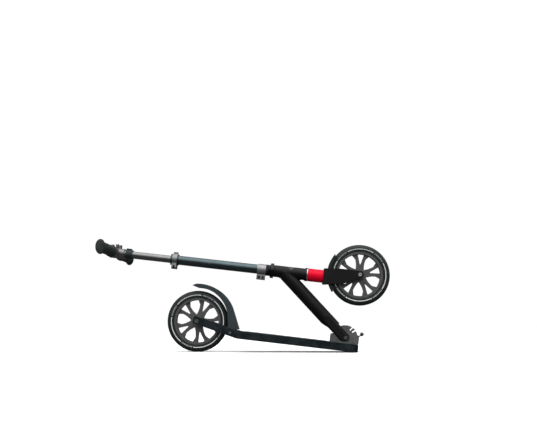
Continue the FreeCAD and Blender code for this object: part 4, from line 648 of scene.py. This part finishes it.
# ==== column tubes ============================================================================
# The outer tube is drawn aluminium, anodised deep teal; the inner tube slides in it, anodised titanium grey.
# Both carry hairline drawing marks along their length and are rubbed brighter in streaks.
teal = drawn_metal("outer_tube_teal", (0.050, 0.069, 0.075, 1.0), (0.084, 0.112, 0.119, 1.0), COLUMN_TURN,
                   (0.0011, 0.16), 0.0011, rough=0.27, lines=0.65)
dress(teal, "outer_tube")
titanium = drawn_metal("inner_tube_titanium", (0.120, 0.120, 0.121, 1.0), (0.210, 0.210, 0.212, 1.0),
                       COLUMN_TURN, (0.0009, 0.20), 0.0009, rough=0.27, lines=0.7)
dress(titanium, "inner_tube", "height_button_left", "height_button_right", "height_spring")

# ==== quick-release collar ====================================================================
# A split aluminium collar squeezes the inner tube when its cam lever is closed on the cross bolt.
# The collar is bead-blasted slate, the lever die-cast and tumbled to a lighter grey.
collar_slate = drawn_metal("collar_slate", (0.026, 0.035, 0.038, 1.0), (0.070, 0.084, 0.088, 1.0),
                           COLUMN_TURN, (0.01, 0.0006), 0.01, rough=0.36)
dress(collar_slate, "qr_collar", edge=0.6 * MM)
lever_grey = drawn_metal("lever_tumbled", (0.130, 0.135, 0.137, 1.0), (0.230, 0.236, 0.239, 1.0), COLUMN_TURN,
                         (0.004, 0.0010), 0.004, metallic=0.85, rough=0.38, lines=0.3)
dress(lever_grey, "qr_lever", edge=0.5 * MM)

# ==== clip ring ===============================================================================
# An injection-moulded ring pushed on the inner tube below the head, with a small hook on its front.
# Dark teal plastic with the same eroded skin as the mudguard.
clip_nylon = moulded("clip_nylon", (0.012, 0.018, 0.019, 1.0), (0.050, 0.060, 0.062, 1.0), COLUMN_TURN, 0.44)
dress(clip_nylon, "clip_ring", edge=0.5 * MM)

# ==== handlebar head and folding arms =========================================================
# The T-shaped head is a titanium-grey casting with three ribs and a clevis for each folding arm.
# The arms are drawn tubes with flat tongues; a push button beside each hinge locks it straight.
head_cast, start = finish("t_head_titanium", Metallic=0.85)
blasted = noise(local(start), 1300.0, 4.0, 0.65)
cast_tone = noise(local(start), 55.0, 3.0, 0.5)
blend((blasted * 0.35 + cast_tone * 0.65).step(0.5, 0.45), (0.125, 0.125, 0.127, 1.0),
      (0.215, 0.215, 0.217, 1.0)).feed("Base Color")
(0.36 + cast_tone * 0.16).feed("Roughness")
relief(blasted, 0.00007, 0.7).feed("Normal")
dress(head_cast, "t_head", edge=0.6 * MM)
dress(titanium, "grip_arm_left", "grip_arm_right", edge=0.3 * MM)
dress(nylon, "grip_lock_left", "grip_lock_right", edge=0.3 * MM)

# ==== grips ===================================================================================
# Each grip is soft thermoplastic rubber moulded over the arm, with a flange inside and a wide oval end.
# Rows of raised oval pads run round the palm, with a plain band in the middle; the end has a fine groove.
GRIP_FLANGE = 20.0
GRIP_BODY = 16.5
GRIP_END = 24.0
GRIP_BORE = 11.02
GRIP_LENGTH = 130.0
FACE_RINGS = 26
PADS_ROUND = 14
PAD_PITCH = 8.4
PAD_HEIGHT = 0.7

grip_rubber, start = finish("grip_rubber", Specular_IOR_Level=0.15)
matt = noise(local(start), 1700.0, 4.0, 0.65)
handled = noise(local(start), 65.0, 3.0, 0.5)
blend((matt * 0.4 + handled * 0.6).step(0.5, 0.45), (0.018, 0.023, 0.023, 1.0),
      (0.042, 0.052, 0.050, 1.0)).feed("Base Color")
(0.60 + handled * 0.18).feed("Roughness")
relief(matt, 0.00008, 0.8).feed("Normal")


def smooth(place, first, last):
    """Rises from 0 to 1 between two places, as 3 s squared less 2 s cubed."""
    share = np.clip((place - first) / (last - first), 0, 1)
    return share * share * (3 - 2 * share)


def grip_surface(centre, side):
    """Rings along the grip's axis. The outside goes from flange to waist to flared end and its rounded face,
    closing on the axis, then returns along the bore; towards the end the round section turns oval. On the
    waist a product of cosines in angle and length, kept where it is positive, stands 0.7 mm proud as oval
    pads."""
    along = np.concatenate([np.linspace(0.0, 8.0, 28), np.linspace(8.5, 110.0, 190),
                            np.linspace(110.5, 121, 30)])
    waist = GRIP_BODY + 0.8 * np.sin(np.pi * smooth(along, 8, 113))
    outside = waist + (GRIP_FLANGE - waist) * (1 - smooth(along, 4.2, 8.0))
    outside = outside + (GRIP_END - 0.4 - outside) * smooth(along, 111.5, 121.5)
    outside[0] = GRIP_FLANGE - 1.0
    turn = np.linspace(0, np.pi / 2, FACE_RINGS)
    face_along = 121.3 + 8.7 * np.sin(turn) ** 0.9
    face_radius = GRIP_END * np.cos(turn) ** 0.42
    face_along = face_along - 0.7 * np.exp(-((face_radius - 15.0) / 0.9) ** 2)
    back_along = np.array([GRIP_LENGTH - 5.0, GRIP_LENGTH - 5.0, 60.0, 0.0, 0.0])
    back_radius = np.array([0.0, GRIP_BORE, GRIP_BORE, GRIP_BORE, GRIP_FLANGE - 1.0])
    length = np.concatenate([along, face_along, back_along])
    radius = np.concatenate([outside, face_radius, back_radius])
    radius[len(along) + FACE_RINGS - 1] = 0.0
    angle = np.linspace(0, 2 * np.pi, 168, endpoint=False)
    pads = np.cos(PADS_ROUND * angle)[None, :] * np.cos(2 * np.pi * length / PAD_PITCH)[:, None]
    fade = smooth(length, 14, 17) * (1 - smooth(length, 104, 107)) * (1 - np.exp(-((length - 58) / 3.5) ** 4))
    fade[len(along):] = 0.0
    reach = radius[:, None] + PAD_HEIGHT * np.clip(pads * 1.6, 0, 1) ** 0.7 * fade[:, None] * (pads > 0)
    oval = 1 - 0.34 * smooth(length, 92, 122)
    lift = np.stack([reach * np.cos(angle) * oval[:, None], np.broadcast_to(length[:, None], reach.shape),
                     reach * np.sin(angle)], axis=-1) * MM
    lift[..., 1] = centre[1] + side * lift[..., 1]
    lift[..., 0] += centre[0]
    lift[..., 2] += centre[2]
    return lift


for side_name, side, body in (("left", 1.0, "grip_l"), ("right", -1.0, "grip_r")):
    low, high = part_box("grip_" + side_name)
    start_y = low[1] if side > 0 else high[1]
    grip_place = np.array([(low[0] + high[0]) / 2, start_y, (low[2] + high[2]) / 2])
    grip = put_in("grip_" + side_name + "_padded", grip_surface(grip_place, side), body, grip_rubber,
                  wrap_rows=True)
    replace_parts(grip, "grip_" + side_name)

# ==== floor, light and camera =================================================================
# The scooter stands on a plain white floor that only the camera sees, so it isn't mirrored in the finishes.
# A large softbox hangs overhead, three panels stand at the sides and behind, and the room is bright above.
FLOOR_HALF = 9.0
floor_mesh = bpy.data.meshes.new("floor")
floor_mesh.from_pydata([(-FLOOR_HALF, -FLOOR_HALF, 0.0), (FLOOR_HALF, -FLOOR_HALF, 0.0),
                        (FLOOR_HALF, FLOOR_HALF, 0.0), (-FLOOR_HALF, FLOOR_HALF, 0.0)], [], [(0, 1, 2, 3)])
floor = bpy.data.objects.new("floor", floor_mesh)
bpy.context.scene.collection.objects.link(floor)
floor_white, start = finish("floor_white", Specular_IOR_Level=0.0)
mottle = noise(local(start), 3.0, 2.0)
blend(mottle, (0.93, 0.93, 0.93, 1.0), (0.95, 0.95, 0.95, 1.0)).feed("Base Color")
(0.85 + mottle * 0.1).feed("Roughness")
floor_mesh.materials.append(floor_white)
floor.visible_glossy = False
floor.visible_diffuse = False


def softbox(name, place, aim, size, power):
    """A square area light that faces a point."""
    light = bpy.data.lights.new(name, "AREA")
    light.size = size
    light.energy = power
    lamp = bpy.data.objects.new(name, light)
    direction = np.array(aim) - np.array(place)
    flat = math.hypot(direction[0], direction[1])
    lamp.location = place
    lamp.rotation_euler = (math.pi / 2 + math.atan2(direction[2], flat), 0,
                           math.atan2(direction[1], direction[0]) - math.pi / 2)
    bpy.context.scene.collection.objects.link(lamp)


softbox("overhead", (0.1, -0.3, 2.6), (0.0, 0.0, 0.1), 2.6, 12.0)
softbox("left_panel", (-2.2, -1.6, 1.5), (0.0, 0.0, 0.15), 1.4, 9.0)
softbox("right_panel", (2.4, 1.0, 1.3), (0.0, 0.0, 0.15), 1.2, 7.0)
softbox("back_panel", (-0.7, 2.4, 1.7), (0.0, 0.0, 0.15), 1.6, 16.0)

world = bpy.data.worlds.new("room")
world.use_nodes = True
room = Value(world.node_tree)
backdrop = world.node_tree.nodes["Background"]
backdrop.inputs["Color"].default_value = (1.0, 1.0, 1.0, 1.0)
direction = room.node("TexCoord", output="Generated")
up = part_of(direction, "Z")
away = part_of(direction, "Y")
seen_directly = room.node("LightPath")
room_light = 0.17 + 2.6 * (up * 0.90 - away * 0.43).step(0.72, 0.56)
room_light = room_light * (1 - seen_directly) + 1.02 * seen_directly
world.node_tree.links.new(room_light.socket, backdrop.inputs["Strength"])
bpy.context.scene.world = world

lens = bpy.data.cameras.new("camera")
lens.lens = 42.9
lens.sensor_width = 36.0
lens.shift_y = 0.10
lens.clip_end = 60.0
camera = bpy.data.objects.new("camera", lens)
camera.location = (0.1242, -2.1543, 0.0911)
camera.rotation_euler = (math.radians(94.5), 0.0, math.radians(1.5))
bpy.context.scene.collection.objects.link(camera)
bpy.context.scene.camera = camera
bpy.context.scene.view_settings.view_transform = "Standard"
